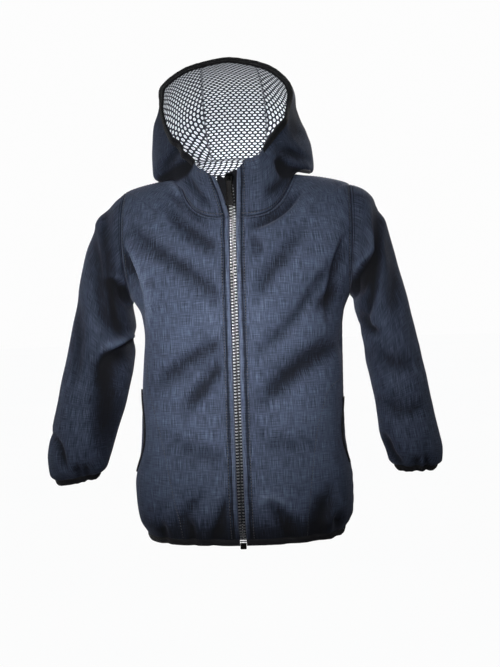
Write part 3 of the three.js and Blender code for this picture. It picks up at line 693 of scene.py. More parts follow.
def set_seams(panels):
    """How far each point is from the nearest sewn edge of its piece, in millimetres."""
    for name, panel in panels.items():
        edges = next(edges for start, edges in SEWN_EDGES.items() if name.startswith(start))
        panel.seam = np.minimum.reduce([from_edge(panel, edge) for edge in edges])
        panel.run = panel.along(0) + 0.8 * panel.along(1)


def relief(panel):
    """How far the finished cloth stands off the frame's form, in millimetres: its folds, its seams. It also
    sets the piece's painted shade and painted highlight.
    """
    name, points, s = panel.name, panel.points, panel.seam
    x, z = points[..., 0], points[..., 2]
    piece = "torso" if name.startswith(("front", "back")) else name.replace("_side", "")
    depth = panel.front * crease_depth(piece, -1, x, z)
    depth += (1 - panel.front) * crease_depth(piece, 1, x, z)
    # Painted shade: troughs are painted darker the deeper they are, and ridges a little lighter as painted
    # highlight.
    panel.shade = np.clip(SHADE_DEPTH * depth, -0.8, 0.12) * smooth(s, 0, 5)
    # A painted highlight on the raised seam allowance; the seam line and the topstitch row are painted
    # darker.
    panel.shade += 0.06 * bump_at(s, 2, 1.2) - 0.3 * bump_at(s, 0, 1.1) - 0.2 * bump_at(s, TOPSTITCH, 0.8)
    limit = CREASE_LIMIT[piece.split("_")[0]]
    height = -limit * np.tanh(depth / limit) * smooth(s, 0, 14) + calm_waves(points, 0.6) * smooth(s, 0, 20)
    fine = seam_relief(s, panel.run)
    if name.startswith(("front", "hood_side")):
        s = from_edge(panel, "first")
        height *= smooth(s, 8, 34)
        fine = fine * (0.5 + 0.5 * smooth(s, 6, 16)) + zip_relief(s)
        # Beside the zip the trough shade fades out. A painted highlight runs along the welt's fold edge and
        # across the strip up to its seam, painted shade lies in the welt's seam groove, and the stitch row
        # beyond is painted darker.
        panel.shade *= smooth(s, 8, 20)
        panel.shade += 0.14 * bump_at(s, 0.8, 0.9) + 0.06 * (1 - smooth(s, 4.6, 6))
        panel.shade -= 0.42 * bump_at(s, WELT, 1.0) + 0.2 * bump_at(s, ZIP_STITCH, 0.8)
    if piece == "torso":
        edge = from_edge(panel, "bottom")
        calm = smooth(np.abs(x - zip_line(z)), 12, 30) if name.startswith("front") else 1
        height *= 0.3 + 0.7 * smooth(edge, 2, 26)
        waves = HEM_WAVE * ripple(x + 0.7 * points[..., 1], 1.0 if name != "back" else 2.4) * calm
        height += waves * (1 - np.exp(-edge / 7)) * np.exp(-((edge / 30) ** 1.5))
        height += BLOUSE * smooth(edge, 0, 34) * (1 - smooth(edge, 40, 120)) * calm
        fine -= 0.9 * np.exp(-edge / 2.5)
        # Painted shade: the cloth is painted darker towards the hem, where it turns under.
        panel.shade -= 0.3 * bump_at(edge, 0, 30)
    if name.startswith("sleeve"):
        edge = from_edge(panel, "top")
        turn = np.arange(points.shape[1]) * 2 * np.pi / points.shape[1]
        seed = 0.4 if name.endswith("left") else 2.9
        waves = np.sin(11 * turn + seed) * 0.5 + np.sin(17 * turn + 2 * seed) * 0.3
        waves = waves + np.sin(7 * turn + 5 * seed) * 0.3
        # Painted shade: the sleeves are painted a little darker all over, where the real ones take less
        # light.
        panel.shade -= 0.07
        height *= 0.4 + 0.6 * smooth(edge, 1, 16)
        height += CUFF_WAVE * waves[None, :] * (1 - np.exp(-edge / 5)) * np.exp(-((edge / 22) ** 1.5))
        fine -= 0.9 * np.exp(-edge / 2.5)
    if name.startswith("hood"):
        fine -= 0.6 * np.exp(-from_edge(panel, "top") / 1.5)
    return height, fine


# ---- Meshes ----

finishes = {}


def new_object(name, data):
    obj = bpy.data.objects.new(name, data)
    bpy.context.scene.collection.objects.link(obj)
    return obj


def plain_object(name, verts, faces, finish=None, soft=False):
    """An object in metres from a few points in millimetres and its faces."""
    mesh = bpy.data.meshes.new(name)
    mesh.from_pydata([Vector(v) * MM for v in verts], [], faces)
    mesh.polygons.foreach_set("use_smooth", [soft] * len(faces))
    if finish:
        mesh.materials.append(finishes[finish])
    return new_object(name, mesh)


def shell(name, panel, outer, inner, finish):
    """A closed wall between two grids of points: face, back and the rim that joins them."""
    rows, columns = outer.shape[:2]
    wrap = columns if panel.closed else columns - 1
    behind = rows * columns

    def spot(row, column):
        return row * columns + column % columns

    i, j = [part.ravel() for part in np.meshgrid(np.arange(rows - 1), np.arange(wrap), indexing="ij")]
    corners = [(i, j), (i, j + 1), (i + 1, j + 1), (i + 1, j)]
    quad = np.stack([spot(*corner) for corner in corners], -1)
    quad_uv = np.stack([panel.uv[corner] for corner in corners], 1)
    faces, uvs = [quad, quad[:, ::-1] + behind], [quad_uv, quad_uv[:, ::-1]]
    k = np.arange(wrap)
    first, last = np.zeros_like(k), np.full_like(k, rows - 1)
    rims = [((first, k), (first, k + 1)), ((last, k + 1), (last, k))]
    if not panel.closed:
        k = np.arange(rows - 1)
        first, last = np.zeros_like(k), np.full_like(k, columns - 1)
        rims += [((k + 1, first), (k, first)), ((k, last), (k + 1, last))]
    for a, b in rims:
        near, far = spot(*a), spot(*b)
        faces.append(np.stack([far, near, near + behind, far + behind], -1))
        uvs.append(np.stack([panel.uv[b], panel.uv[a], panel.uv[a], panel.uv[b]], 1))
    faces, uvs = np.concatenate(faces).astype(np.int32), np.concatenate(uvs)
    if panel.turned:
        faces, uvs = faces[:, ::-1], uvs[:, ::-1]
    number = np.arange(len(faces))
    on_back = (number >= len(quad)) & (number < 2 * len(quad))
    verts = np.concatenate([outer.reshape(-1, 3), inner.reshape(-1, 3)]) * MM

    mesh = bpy.data.meshes.new(name)
    mesh.vertices.add(len(verts))
    mesh.vertices.foreach_set("co", verts.ravel())
    mesh.loops.add(faces.size)
    mesh.loops.foreach_set("vertex_index", faces.ravel())
    mesh.polygons.add(len(faces))
    mesh.polygons.foreach_set("loop_start", np.arange(0, faces.size, 4))
    mesh.update(calc_edges=True)
    mesh.polygons.foreach_set("use_smooth", number < 2 * len(quad))
    mesh.uv_layers.new(name="cloth").data.foreach_set("uv", uvs.astype(np.float32).ravel())
    shade = mesh.attributes.new("shade", "FLOAT", "POINT")
    shade.data.foreach_set("value", np.tile(panel.shade.ravel(), 2).astype(np.float32))
    for part in finish:
        mesh.materials.append(finishes[part])
    if len(finish) > 1:
        mesh.polygons.foreach_set("material_index", on_back.astype(np.int32))
    mesh.validate(clean_customdata=False)
    return new_object(name, mesh)


def drawn_in(panel, points, gap=0.02):
    """The grid with its edges drawn in by their share of the seam gap."""
    out = points.copy()
    out[0] += unit(points[1] - points[0]) * gap
    out[-1] += unit(points[-2] - points[-1]) * gap
    if not panel.closed:
        out[:, 0] += unit(points[:, 1] - points[:, 0]) * gap
        out[:, -1] += unit(points[:, -2] - points[:, -1]) * gap
    return out


def finish_piece(obj, nodes, body="jacket"):
    """The piece rides on its body and stands for its nodes."""
    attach(obj, body)
    if nodes:
        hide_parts(*nodes)
    return obj


# ---- Materials ----


def add_node(tree, kind, settings=(), **inputs):
    """A node: first its settings, then its sockets, by name or by number (_0), each a value or a link."""
    node = tree.nodes.new(kind)
    for key, value in dict(settings).items():
        setattr(node, key, value)
    for key, value in inputs.items():
        socket = node.inputs[int(key[1:]) if key[0] == "_" else key.replace("_", " ")]
        value = value.socket if isinstance(value, Value) else value
        if isinstance(value, bpy.types.NodeSocket):
            tree.links.new(value, socket)
        else:
            socket.default_value = value
    return node


class Value:
    """A shader value that plain arithmetic builds nodes from."""

    def __init__(self, maker, socket):
        self.maker, self.socket = maker, socket

    def maths(self, operation, *others):
        return self.maker.maths(operation, self, *others)

    def __add__(self, other):
        return self.maths("ADD", other)

    def __radd__(self, other):
        return self.maths("ADD", other)

    def __sub__(self, other):
        return self.maths("SUBTRACT", other)

    def __rsub__(self, other):
        return self.maker.maths("SUBTRACT", other, self)

    def __mul__(self, other):
        return self.maths("MULTIPLY", other)

    def __rmul__(self, other):
        return self.maths("MULTIPLY", other)

    def __truediv__(self, other):
        return self.maths("DIVIDE", other)

    def step(self, start, end, low=0.0, high=1.0):
        """Low before start, high after end, with soft ends."""
        ends = {"From_Min": start, "From_Max": end, "To_Min": low, "To_Max": high}
        node = self.maker.node("ShaderNodeMapRange", {"interpolation_type": "SMOOTHSTEP"}, Value=self, **ends)
        return self.maker.value(node, "Result")


class Finish:
    """A procedural material under construction."""

    def __init__(self, name, **constants):
        finishes[name] = material = bpy.data.materials.new(name)
        material.use_nodes = True
        self.tree = material.node_tree
        self.tree.nodes.clear()
        self.shader = self.node("ShaderNodeBsdfPrincipled", **constants)
        self.node("ShaderNodeOutputMaterial", Surface=self.shader.outputs["BSDF"])

    def node(self, kind, settings=(), **inputs):
        return add_node(self.tree, kind, settings, **inputs)

    def value(self, node, output):
        return Value(self, node.outputs[output])

    def maths(self, operation, *values):
        inputs = {f"_{number}": value for number, value in enumerate(values)}
        return self.value(self.node("ShaderNodeMath", {"operation": operation}, **inputs), 0)

    def threads(self):
        """The piece's own flat coordinates, in metres: across and along its threads."""
        uv = self.node("ShaderNodeUVMap", {"uv_map": "cloth"})
        parts = self.node("ShaderNodeSeparateXYZ", Vector=self.value(uv, "UV"))
        return self.value(parts, "X"), self.value(parts, "Y")

    def place(self):
        """Object coordinates, in metres."""
        return self.value(self.node("ShaderNodeTexCoord"), "Object")

    def joined(self, x, y, z=0.0):
        return self.value(self.node("ShaderNodeCombineXYZ", X=x, Y=y, Z=z), "Vector")

    def noise(self, vector, scale=1.0, detail=2.0, roughness=0.5):
        node = self.node("ShaderNodeTexNoise", Vector=vector, Scale=scale, Detail=detail, Roughness=roughness)
        return self.value(node, "Fac")

    def shade(self):
        """The piece's painted shade: how much darker or lighter it is painted at a place, in its folds, at
        its seams, at the hem, by the zip and over the sleeves; on the net, how far its holes are painted
        shut.
        """
        return self.value(self.node("ShaderNodeAttribute", {"attribute_name": "shade"}), "Fac")

    def blend(self, share, first, second):
        """Two colours, or values linked to colours, mixed."""
        first, second = [c if isinstance(c, Value) else (*c, 1) for c in (first, second)]
        node = self.node("ShaderNodeMix", {"data_type": "RGBA"}, Factor=share, _6=first, _7=second)
        return self.value(node, 2)

    def ramp(self, value, stops):
        node = self.node("ShaderNodeValToRGB", Fac=value)
        elements = node.color_ramp.elements
        while len(elements) < len(stops):
            elements.new(0.5)
        for element, (position, colour) in zip(elements, stops):
            element.position = position
            element.color = (*colour, 1)
        return self.value(node, "Color")

    def paint(self, colour, roughness=None, metallic=None, glow=None):
        names = ("Base Color", "Roughness", "Metallic", "Emission Color")
        for name, value in zip(names, (colour, roughness, metallic, glow)):
            if value is not None:
                self.tree.links.new(value.socket, self.shader.inputs[name])

    def bump(self, height, distance, strength=1.0):
        node = self.node("ShaderNodeBump", Height=height, Distance=distance, Strength=strength)
        self.tree.links.new(node.outputs["Normal"], self.shader.inputs["Normal"])


def softshell_finish():
    """Heathered softshell: crossed slub threads in navy, grey and charcoal, with the piece's painted shade
    and painted highlight.
    """
    sheen = {"Sheen_Weight": 0.09, "Sheen_Roughness": 0.45, "Sheen_Tint": (0.62, 0.7, 1, 1)}
    f = Finish("softshell", Specular_IOR_Level=0.22, **sheen)
    u, v = f.threads()
    warp = f.noise(f.joined(u * 1300, v * 55), detail=1)
    weft = f.noise(f.joined(u * 60 + 7, v * 1300), detail=1)
    slub_up = f.noise(f.joined(u * 620 + 31, v * 18), detail=1).step(0.6, 0.75)
    slub_over = f.noise(f.joined(u * 16, v * 620 + 17), detail=1).step(0.64, 0.78)
    fleck = f.noise(f.joined(u * 1800, v * 1800), detail=1)
    cloud = f.noise(f.joined(u * 16, v * 16, 3.0), detail=3)
    tone = 0.45 + (warp - 0.5) * 0.6 + (weft - 0.5) * 0.38 + (fleck - 0.5) * 0.18 + (cloud - 0.5) * 0.15
    # The shade attribute adds the painted shade and painted highlight to the tone; the ramp's near-black
    # first stop is reached only in the deepest painted shade.
    tone = tone + slub_up * 0.06 + slub_over * 0.05 + f.shade()
    colours = (0.001, 0.0014, 0.0028), (0.005, 0.0072, 0.014), (0.038, 0.0515, 0.085), (0.135, 0.17, 0.24)
    f.paint(f.ramp(tone, list(zip((0.0, 0.24, 0.5, 0.86), colours))), tone.step(0.2, 0.9, 0.86, 0.72))
    twill = ((u + v) * 5200).maths("SINE") * 0.12
    f.bump(warp * 0.5 + weft * 0.5 + twill + fleck * 0.2, 0.00035, 0.55)


def net_finish():
    """White-backed black net with oval holes, painted shut near its edges and, as painted shade, towards the
    crown and on the sides; it glows with its own colour as painted light.
    """
    net = Finish("net", Specular_IOR_Level=0.25, Emission_Strength=0.86)
    u, v = net.threads()
    wide, high = 0.0076, 0.0080
    wobble = net.noise(net.joined(u * 60, v * 60), detail=1) - 0.5
    across, along = u / wide + wobble * 0.25, v / high + wobble * 0.2

    def ovals(shift):
        x = ((across + shift).maths("FRACT") - 0.5) * wide
        y = ((along + shift).maths("FRACT") - 0.5) * high
        far = ((x / 0.0027) * (x / 0.0027) + (y / 0.0014) * (y / 0.0014)).maths("SQRT")
        return far.step(0.82, 1.08, 1.0, 0.0)

    # The piece's shade paints the holes shut: painted shade towards the crown and on the sides, and near the
    # net's edges.
    hole = ovals(0.0).maths("MAXIMUM", ovals(0.5)) * (1 - net.shade())
    knit = net.noise(net.joined(u * 2600, v * 2600), detail=2)
    black = net.ramp(knit, [(0.3, (0.006, 0.007, 0.011)), (0.75, (0.03, 0.033, 0.045))])
    white = net.ramp(knit, [(0.3, (0.74, 0.78, 0.83)), (0.7, (0.92, 0.95, 0.98))])
    colour = net.blend(hole, black, white)
    # Painted light: the net glows with its own colour, so that its white shows as bright as a lit white.
    net.paint(colour, hole.step(0, 1, 0.75, 0.95), glow=colour)
    net.bump((1 - hole) + knit * 0.3, 0.0006, 0.8)


def fibre_finish(name, sheen, noise, dark, light, rough, bump):
    """Fleece or thread: fuzz that changes its colour and its gloss."""
    finish = Finish(name, Sheen_Weight=sheen[0], Sheen_Roughness=sheen[1], **sheen[2])
    fuzz = finish.noise(finish.place(), *noise)
    finish.paint(finish.blend(fuzz, dark, light), fuzz.step(0.2, 0.8, *rough))
    finish.bump(fuzz, *bump)


def elastic_finish():
    elastic = Finish("elastic", Sheen_Weight=0.05, Sheen_Roughness=0.4, Specular_IOR_Level=0.25)
    u, v = elastic.threads()
    ribs = (u * 7000).maths("SINE") * 0.5 + (v * 9000).maths("SINE") * 0.35
    mottle = elastic.noise(elastic.joined(u * 90, v * 90), detail=3)
    colour = elastic.blend(mottle, (0.002, 0.002, 0.003), (0.007, 0.0075, 0.01))
    elastic.paint(colour, mottle.step(0.3, 0.8, 0.8, 0.66))
    elastic.bump(ribs + mottle * 0.5, 0.0002, 0.5)


def tape_finish():
    tape = Finish("zip_tape", Specular_IOR_Level=0.12)
    u, v = tape.threads()
    ribs = (u * 4200).maths("SINE")
    herring = ((v + u) * 6500).maths("SINE") * 0.4
    tone = ribs * 0.35 + herring * 0.2 + 0.5
    tape.paint(tape.blend(tone, (0.003, 0.003, 0.004), (0.012, 0.013, 0.017)), tone.step(0, 1, 0.8, 0.62))
    tape.bump(ribs + herring, 0.0003, 0.7)


def teeth_finish():
    """Grey moulded teeth: the low middle of the chain between the heads is painted dark as painted shade, and
    the heads are pale grey, partly the moulding's colour and partly a painted highlight that is painted
    fainter near the hem and above the slider.
    """
    teeth = Finish("zip_teeth", Specular_IOR_Level=0.4, Coat_Weight=0.12, Coat_Roughness=0.25)
    grain = teeth.noise(teeth.place(), 420, 2)
    spot = teeth.node("ShaderNodeSeparateXYZ", Vector=teeth.place())
    x, z = teeth.value(spot, "X"), teeth.value(spot, "Z")
    middle = z.step(-0.46, -0.07, 0.0, -0.002)
    # Painted shade: dark in the low middle of the chain, between the heads.
    head = (x - middle).maths("ABSOLUTE").step(0.0010, 0.0014)
    # Painted highlight: the heads are painted fainter towards the hem and towards the top, near the slider.
    head = head * z.step(-0.4, -0.3, 0.25, 1) * z.step(-0.09, -0.03, 1, 0.4)
    # The heads' pale grey: the moulding's colour, lightened as painted highlight.
    lit = teeth.blend(grain, (0.15, 0.165, 0.18), (0.31, 0.335, 0.36))
    teeth.paint(teeth.blend(head, (0.012, 0.013, 0.016), lit), grain.step(0.3, 0.7, 0.25, 0.38))
    teeth.bump(grain, 0.0002, 0.3)


def enamel_finish():
    enamel = Finish("enamel", Specular_IOR_Level=0.05)
    patch_noise = enamel.noise(enamel.place(), 260, 4, 0.65)
    # Olive-grey patches at random on the black enamel: partly wear, partly painted glints.
    mottle = patch_noise.step(0.6, 0.74)
    colour = enamel.blend(mottle, (0.002, 0.002, 0.002), (0.04, 0.038, 0.028))
    enamel.paint(colour, patch_noise.step(0.3, 0.8, 0.42, 0.6), mottle * 0.2)
    enamel.bump(patch_noise, 0.0003, 0.35)


def floor_finish():
    floor = Finish("studio_floor", Roughness=1.0, Specular_IOR_Level=0.0, Emission_Strength=1.0)
    speck = floor.noise(floor.place(), 0.8, 1)
    seen = floor.blend(speck, (0.965, 0.968, 0.97), (0.975, 0.975, 0.975))
    floor.paint(floor.blend(speck, (0.005, 0.005, 0.005), (0.006, 0.006, 0.006)), glow=seen)


def make_finishes():
    softshell_finish()
    fleece, thread = (0.3, 0.6, {"Specular_IOR_Level": 0.2}), (0.2, 0.4, {})
    fibre_finish(
        "fleece", fleece, (900, 3), (0.006, 0.007, 0.01), (0.022, 0.025, 0.034), (0.95, 0.85), (0.0006, 0.6)
    )
    fibre_finish(
        "thread", thread, (2200, 2), (0.002, 0.002, 0.004), (0.012, 0.014, 0.022), (0.7, 0.55), (0.0001, 0.5)
    )
    net_finish()
    elastic_finish()
    tape_finish()
    teeth_finish()
    enamel_finish()
    floor_finish()


# ---- Things that repeat: stitches and teeth along a line ----


def repeat_tree():
    """Sets copies of an item along a line, turned to the line and to the surface under it."""
    tree = bpy.data.node_groups.new("set_along_line", "GeometryNodeTree")
    kinds = {"Geometry": "Geometry", "Item": "Object", "Spacing": "Float", "Finish": "Material"}
    for name, kind in {**kinds, "Seed": "Int", "Unevenness": "Float"}.items():
        tree.interface.new_socket(name, in_out="INPUT", socket_type="NodeSocket" + kind)
    tree.interface.new_socket("Geometry", in_out="OUTPUT", socket_type="NodeSocketGeometry")

    def node(kind, settings=(), **inputs):
        return add_node(tree, kind, settings, **inputs).outputs

    given = node("NodeGroupInput")
    curve = node("GeometryNodeMeshToCurve", Mesh=given["Geometry"])["Curve"]
    points = node("GeometryNodeCurveToPoints", {"mode": "LENGTH"}, Curve=curve, Length=given["Spacing"])
    up = node("GeometryNodeInputNamedAttribute", {"data_type": "FLOAT_VECTOR"}, Name="up")["Attribute"]
    align = "FunctionNodeAlignRotationToVector"
    stand = node(align, {"axis": "Z"}, Vector=up)["Rotation"]
    turn = node(align, {"axis": "X", "pivot_axis": "Z"}, Rotation=stand, Vector=points["Tangent"])
    item = node("GeometryNodeObjectInfo", Object=given["Item"], As_Instance=True)
    span = node("ShaderNodeCombineXYZ", **{axis: given["Unevenness"] for axis in "XYZ"})[0]
    low, high = [
        node("ShaderNodeVectorMath", {"operation": operation}, _0=(1, 1, 1), _1=span)[0]
        for operation in ("SUBTRACT", "ADD")
    ]
    ends = {"Min": low, "Max": high, "Seed": given["Seed"]}
    size = node("FunctionNodeRandomValue", {"data_type": "FLOAT_VECTOR"}, **ends)
    inputs = {"Points": points["Points"], "Instance": item["Geometry"], "Rotation": turn["Rotation"]}
    copies = node("GeometryNodeInstanceOnPoints", Scale=size["Value"], **inputs)
    solid = node("GeometryNodeRealizeInstances", Geometry=copies["Instances"])
    paint = node("GeometryNodeSetMaterial", Geometry=solid["Geometry"], Material=given["Finish"])
    node("NodeGroupOutput", Geometry=paint["Geometry"])
    return tree


def set_along(name, lines, item, spacing, finish, uneven=0.0):
    """A mesh of the item repeated along lines of (points, normals), in millimetres."""
    verts = np.concatenate([line for line, _ in lines]) * MM
    ups = np.concatenate([unit(up) for _, up in lines])
    edges, start = [], 0
    for line, _ in lines:
        edges += [(start + k, start + k + 1) for k in range(len(line) - 1)]
        start += len(line)
    mesh = bpy.data.meshes.new(name + "_line")
    mesh.from_pydata([tuple(v) for v in verts], edges, [])
    attribute = mesh.attributes.new("up", "FLOAT_VECTOR", "POINT")
    attribute.data.foreach_set("vector", ups.astype(np.float32).ravel())
    carrier = new_object(name + "_line", mesh)
    tree = bpy.data.node_groups.get("set_along_line") or repeat_tree()
    modifier = carrier.modifiers.new("along", "NODES")
    modifier.node_group = tree
    values = {"Item": item, "Spacing": spacing * MM, "Finish": finishes[finish]}
    values.update({"Seed": 7, "Unevenness": uneven})
    for socket in tree.interface.items_tree:
        if socket.in_out == "INPUT" and socket.name in values:
            modifier[socket.identifier] = values[socket.name]
    bpy.context.view_layer.update()
    graph = bpy.context.evaluated_depsgraph_get()
    made = bpy.data.meshes.new_from_object(carrier.evaluated_get(graph))
    made.name = name
    bpy.data.objects.remove(carrier)
    return new_object(name, made)


def ring_faces(a, b, size):
    """The quads between two rings of a number of points each, that start at a and at b."""
    turns = [(k, (k + 1) % size) for k in range(size)]
    return [(a + k, b + k, b + n, a + n) for k, n in turns]


def thread_item(length, radius):
    """One stitch: a short rounded bar that dips into the cloth at its ends."""
    rings = [(-0.5, 0.25, -0.6), (-0.36, 0.85, 0.1), (0, 1, 0.5), (0.36, 0.85, 0.1), (0.5, 0.25, -0.6)]
    verts, faces = [], []
    for along, wide, lift in rings:
        for k in range(6):
            angle = math.tau * k / 6
            rise = wide * math.sin(angle) * 0.8 + lift
            verts.append((along * length, radius * wide * math.cos(angle), radius * rise))
    for i in range(len(rings) - 1):
        faces += ring_faces(6 * i, 6 * i + 6, 6)
    ends = [tuple(range(6)), tuple(reversed(range(len(verts) - 6, len(verts))))]
    return plain_object("thread_item", verts, faces + ends, soft=True)


def inset(panel, edge, distance, start=0.0, end=0.0):
    """The line on the finished cloth at a distance from one edge, with its normals."""
    far = from_edge(panel, edge)
    face = panel.finished
    rows = edge in ("first", "last")
    count = face.shape[0] if rows else face.shape[1]
    out, ups = [], []
    for k in range(count):
        line = (face[k], panel.normals[k], far[k]) if rows else (face[:, k], panel.normals[:, k], far[:, k])
        order = np.argsort(line[2])
        out.append([np.interp(distance, line[2][order], line[0][order, c]) for c in range(3)])
        ups.append([np.interp(distance, line[2][order], line[1][order, c]) for c in range(3)])
    if panel.closed and not rows:
        out.append(out[0])
        ups.append(ups[0])
    out, ups = np.array(out), unit(np.array(ups))
    length = walked(out)
    keep = (length >= start) & (length <= length[-1] - end)
    return out[keep] + ups[keep] * LIFT, ups[keep]


# ---- Pieces ----

cut = {}


def cut_cloth():
    """Works out every panel once: its form, its relief and its normals."""
    if cut:
        return cut
    panels = make_panels()
    set_seams(panels)
    share_normals(list(panels.values()))
    for panel in panels.values():
        folds, seams = relief(panel)
        panel.lined = panel.points + panel.normals * folds[..., None]
        panel.finished = panel.lined + panel.normals * seams[..., None]
    meet(panels)
    share_normals(list(panels.values()), "finished")
    cut.update(panels)
    return cut


def meet(panels):
    """Points that several panels share are brought together again after the relief."""
    order = list(panels.values())
    where, counts = places(order, "points")
    ends = np.cumsum([panel.seam.size for panel in order])[:-1]
    for grid in ("lined", "finished"):
        flat = np.concatenate([getattr(panel, grid).reshape(-1, 3) for panel in order])
        flat = pooled(where, flat) / counts[where][:, None]
        for panel, part in zip(order, np.split(flat, ends)):
            setattr(panel, grid, part.reshape(panel.points.shape))


def cloth_cut(panel):
    """The flat cut of a panel: width, length and area, in metres."""
    width = steps(panel.ringed(panel.points), 1).sum(1).max() * MM
    length = steps(panel.ringed(panel.points), 0).sum(0).max() * MM
    area = np.linalg.norm(quad_normals(panel, panel.points), axis=-1).sum() / 2 * MM * MM
    return (float(width), float(length)), float(min(area, width * length))


def eased(points, times=14):
    """Points drawn towards their neighbours, so that what lies behind the cloth spans its tight bends."""
    points = points.copy()
    for _ in range(times):
        around = points[:-2, 1:-1] + points[2:, 1:-1] + points[1:-1, :-2] + points[1:-1, 2:]
        points[1:-1, 1:-1] = 0.5 * points[1:-1, 1:-1] + 0.125 * around
    return points


def make_cloth(panel, thickness):
    """One softshell panel: its face, and its fleece back, which on the hood's sides keeps clear of the face
    in tight folds.
    """
    inner = drawn_in(panel, panel.lined) - panel.normals * thickness
    if panel.name.startswith("hood_side"):
        inner = eased(inner, 12)
    outer = drawn_in(panel, panel.finished)
    obj = shell(panel.name + "_cloth", panel, outer, inner, ["softshell", "fleece"])
    return finish_piece(obj, [panel.name])


def binding_panel(name, low, high, closed=False, turned=False, count=10):
    """A band between two lines."""
    share = np.linspace(0, 1, count + 1)
    panel = Panel(name, low[None] + (high - low)[None] * share[:, None, None], turned, closed)
    panel.share = share
    return panel


def hanging_edges(edge, before, drop):
    """The free edge of a binding that hangs on from a cloth edge, and its edge over the cloth."""
    low = edge + unit(unit(edge - before) + np.array([0, 0, -drop])) * BINDING_WIDTH
    return low, edge + unit(before - edge) * OVERLAP


def make_binding(panel, seed, thickness=2.8):
    """A folded elastic: crowned face and back, gathered a little along its length."""
    share_normals([panel])
    crown = np.sin(np.pi * np.clip(panel.share[:, None], 0.04, 0.96)) ** 0.5
    gather = 0.25 * ripple(panel.along(1) * 1.9, seed) * crown
    outer = panel.points + panel.normals * (-0.1 + 0.9 * crown + gather)[..., None]
    inner = panel.points + panel.normals * (-1.5 - (thickness - 1.6) * crown)[..., None]
    panel.uv = panel.flat_map()
    obj = shell(panel.name + "_band", panel, drawn_in(panel, outer), drawn_in(panel, inner), ["elastic"])
    return finish_piece(obj, [panel.name])


class JacketSizes(bpy.types.PropertyGroup):
    """Sizes of the jacket's cloth, thread and zip."""

    cloth: bpy.props.FloatProperty(
        name="Cloth", description="Thickness of the softshell",
        default=0.0016, unit="LENGTH",
    )
    net: bpy.props.FloatProperty(
        name="Net", description="Thickness of the net lining",
        default=0.001, unit="LENGTH",
    )
    stitch: bpy.props.FloatProperty(
        name="Stitch", description="Length of one topstitch",
        default=0.0026, unit="LENGTH",
    )
    stitch_pitch: bpy.props.FloatProperty(
        name="Stitch pitch", description="From one stitch to the next",
        default=0.0038, unit="LENGTH",
    )
    tooth_pitch: bpy.props.FloatProperty(
        name="Tooth pitch", description="From one tooth to the next on one side",
        default=0.0039, unit="LENGTH",
    )


class StageLook(bpy.types.PropertyGroup):
    """The studio around the jacket."""

    key_power: bpy.props.FloatProperty(
        name="Key light", description="Power of the large soft light",
        default=18, unit="POWER",
    )
    band_power: bpy.props.FloatProperty(
        name="Band light", description="Power of the light across the middle",
        default=0.78, unit="POWER",
    )
    fill_power: bpy.props.FloatProperty(
        name="Fill light", description="Power of the light on the other side",
        default=1.4, unit="POWER",
    )
    backdrop: bpy.props.FloatVectorProperty(
        name="Backdrop", description="Colour behind the jacket",
        default=(0.98, 0.98, 0.98), subtype="COLOR", min=0, max=1,
    )


class JACKET_OT_cloth(bpy.types.Operator):
    """Cut and fold the eight softshell panels"""

    bl_idname = "jacket.cloth"
    bl_label = "Softshell panels"

    def execute(self, context):
        panels = cut_cloth()
        thickness = context.scene.jacket_sizes.cloth / MM
        for panel in panels.values():
            flat, area = cloth_cut(panel)
            make_cloth(panel, thickness)
        return {"FINISHED"}


class JACKET_OT_lining(bpy.types.Operator):
    """Line the hood and the collar with net"""

    bl_idname = "jacket.lining"
    bl_label = "Net lining"

    def execute(self, context):
        panels = cut_cloth()
        columns = hood_columns()
        thickness = context.scene.jacket_sizes.net / MM
        sides = [panels[f"hood_side_{name}"] for name in SIDES]
        centre = panels["hood_centre"]
        share_normals([*sides, centre], "lined")
        start = [int(np.searchsorted(columns, coarse_column(name, 1))) for name in SIDES]
        upper = [int(np.searchsorted(columns, coarse_column(name, 4))) for name in SIDES]
        band = slice(0, BAND_ROWS + 1)
        crown = slice(BAND_ROWS, None)
        behind = {p.name: eased(p.lined - p.normals * (PLY + NET_GAP)) for p in [*sides, centre]}
        for panel, (name, side) in zip(sides, SIDES.items()):
            up = hood_grid(name, columns)
            tucked = np.sin(np.pi * columns) ** 4 * (up * (1 - up)) ** 2
            behind[panel.name] += tucked[..., None] * (-side * NET_IN, 0, NET_UP)

        def pick(panel, rows, cols):
            return behind[panel.name][rows, cols], panel.normals[rows, cols]

        left, middle = pick(sides[0], band, slice(start[0], None)), pick(centre, band, slice(1, -1))
        right = [part[:, ::-1] for part in pick(sides[1], band, slice(start[1], None))]
        collar = [np.concatenate(parts, 1) for parts in zip(left, middle, right)]
        pieces = [("collar_lining", collar, False, False)]
        pieces.append(("hood_lining_centre", pick(centre, crown, slice(None)), False, False))
        for name, panel, first in zip(SIDES, sides, upper):
            pieces.append((f"hood_lining_{name}", pick(panel, crown, slice(first, None)), panel.turned, True))
        for node, (points, normals), turned, upright in pieces:
            panel = Panel(node, points, turned)
            if upright:
                panel.uv = panel.uv[..., ::-1] * (1, 0.72)
            edges = [from_edge(panel, edge) for edge in ("first", "last", "bottom")]
            if node == "collar_lining":
                edges = [from_edge(panel, "top")]
            # Painted shade: the net's holes are painted shut towards the crown, most on the centre strip, and
            # on the side pieces a little all over; the collar has none. Near its edges the holes are painted
            # shut as well.
            high = smooth(np.linspace(0, 1, len(points)), 0.45, 1)[:, None]
            dim = {"collar_lining": 0, "hood_lining_centre": 0.6}.get(node, 0.42) * high
            dark = 0.75 * (1 - smooth(np.minimum.reduce(edges), 0.6, 3.4))
            panel.shade = np.maximum(dark, dim + (0.1 if upright else 0))
            panel.normals = normals
            outer = drawn_in(panel, points)
            obj = shell(node + "_net", panel, outer, outer - normals * thickness, ["net"])
            finish_piece(obj, [node])
            flat, area = cloth_cut(panel)
        share_normals(list(panels.values()), "finished")
        return {"FINISHED"}


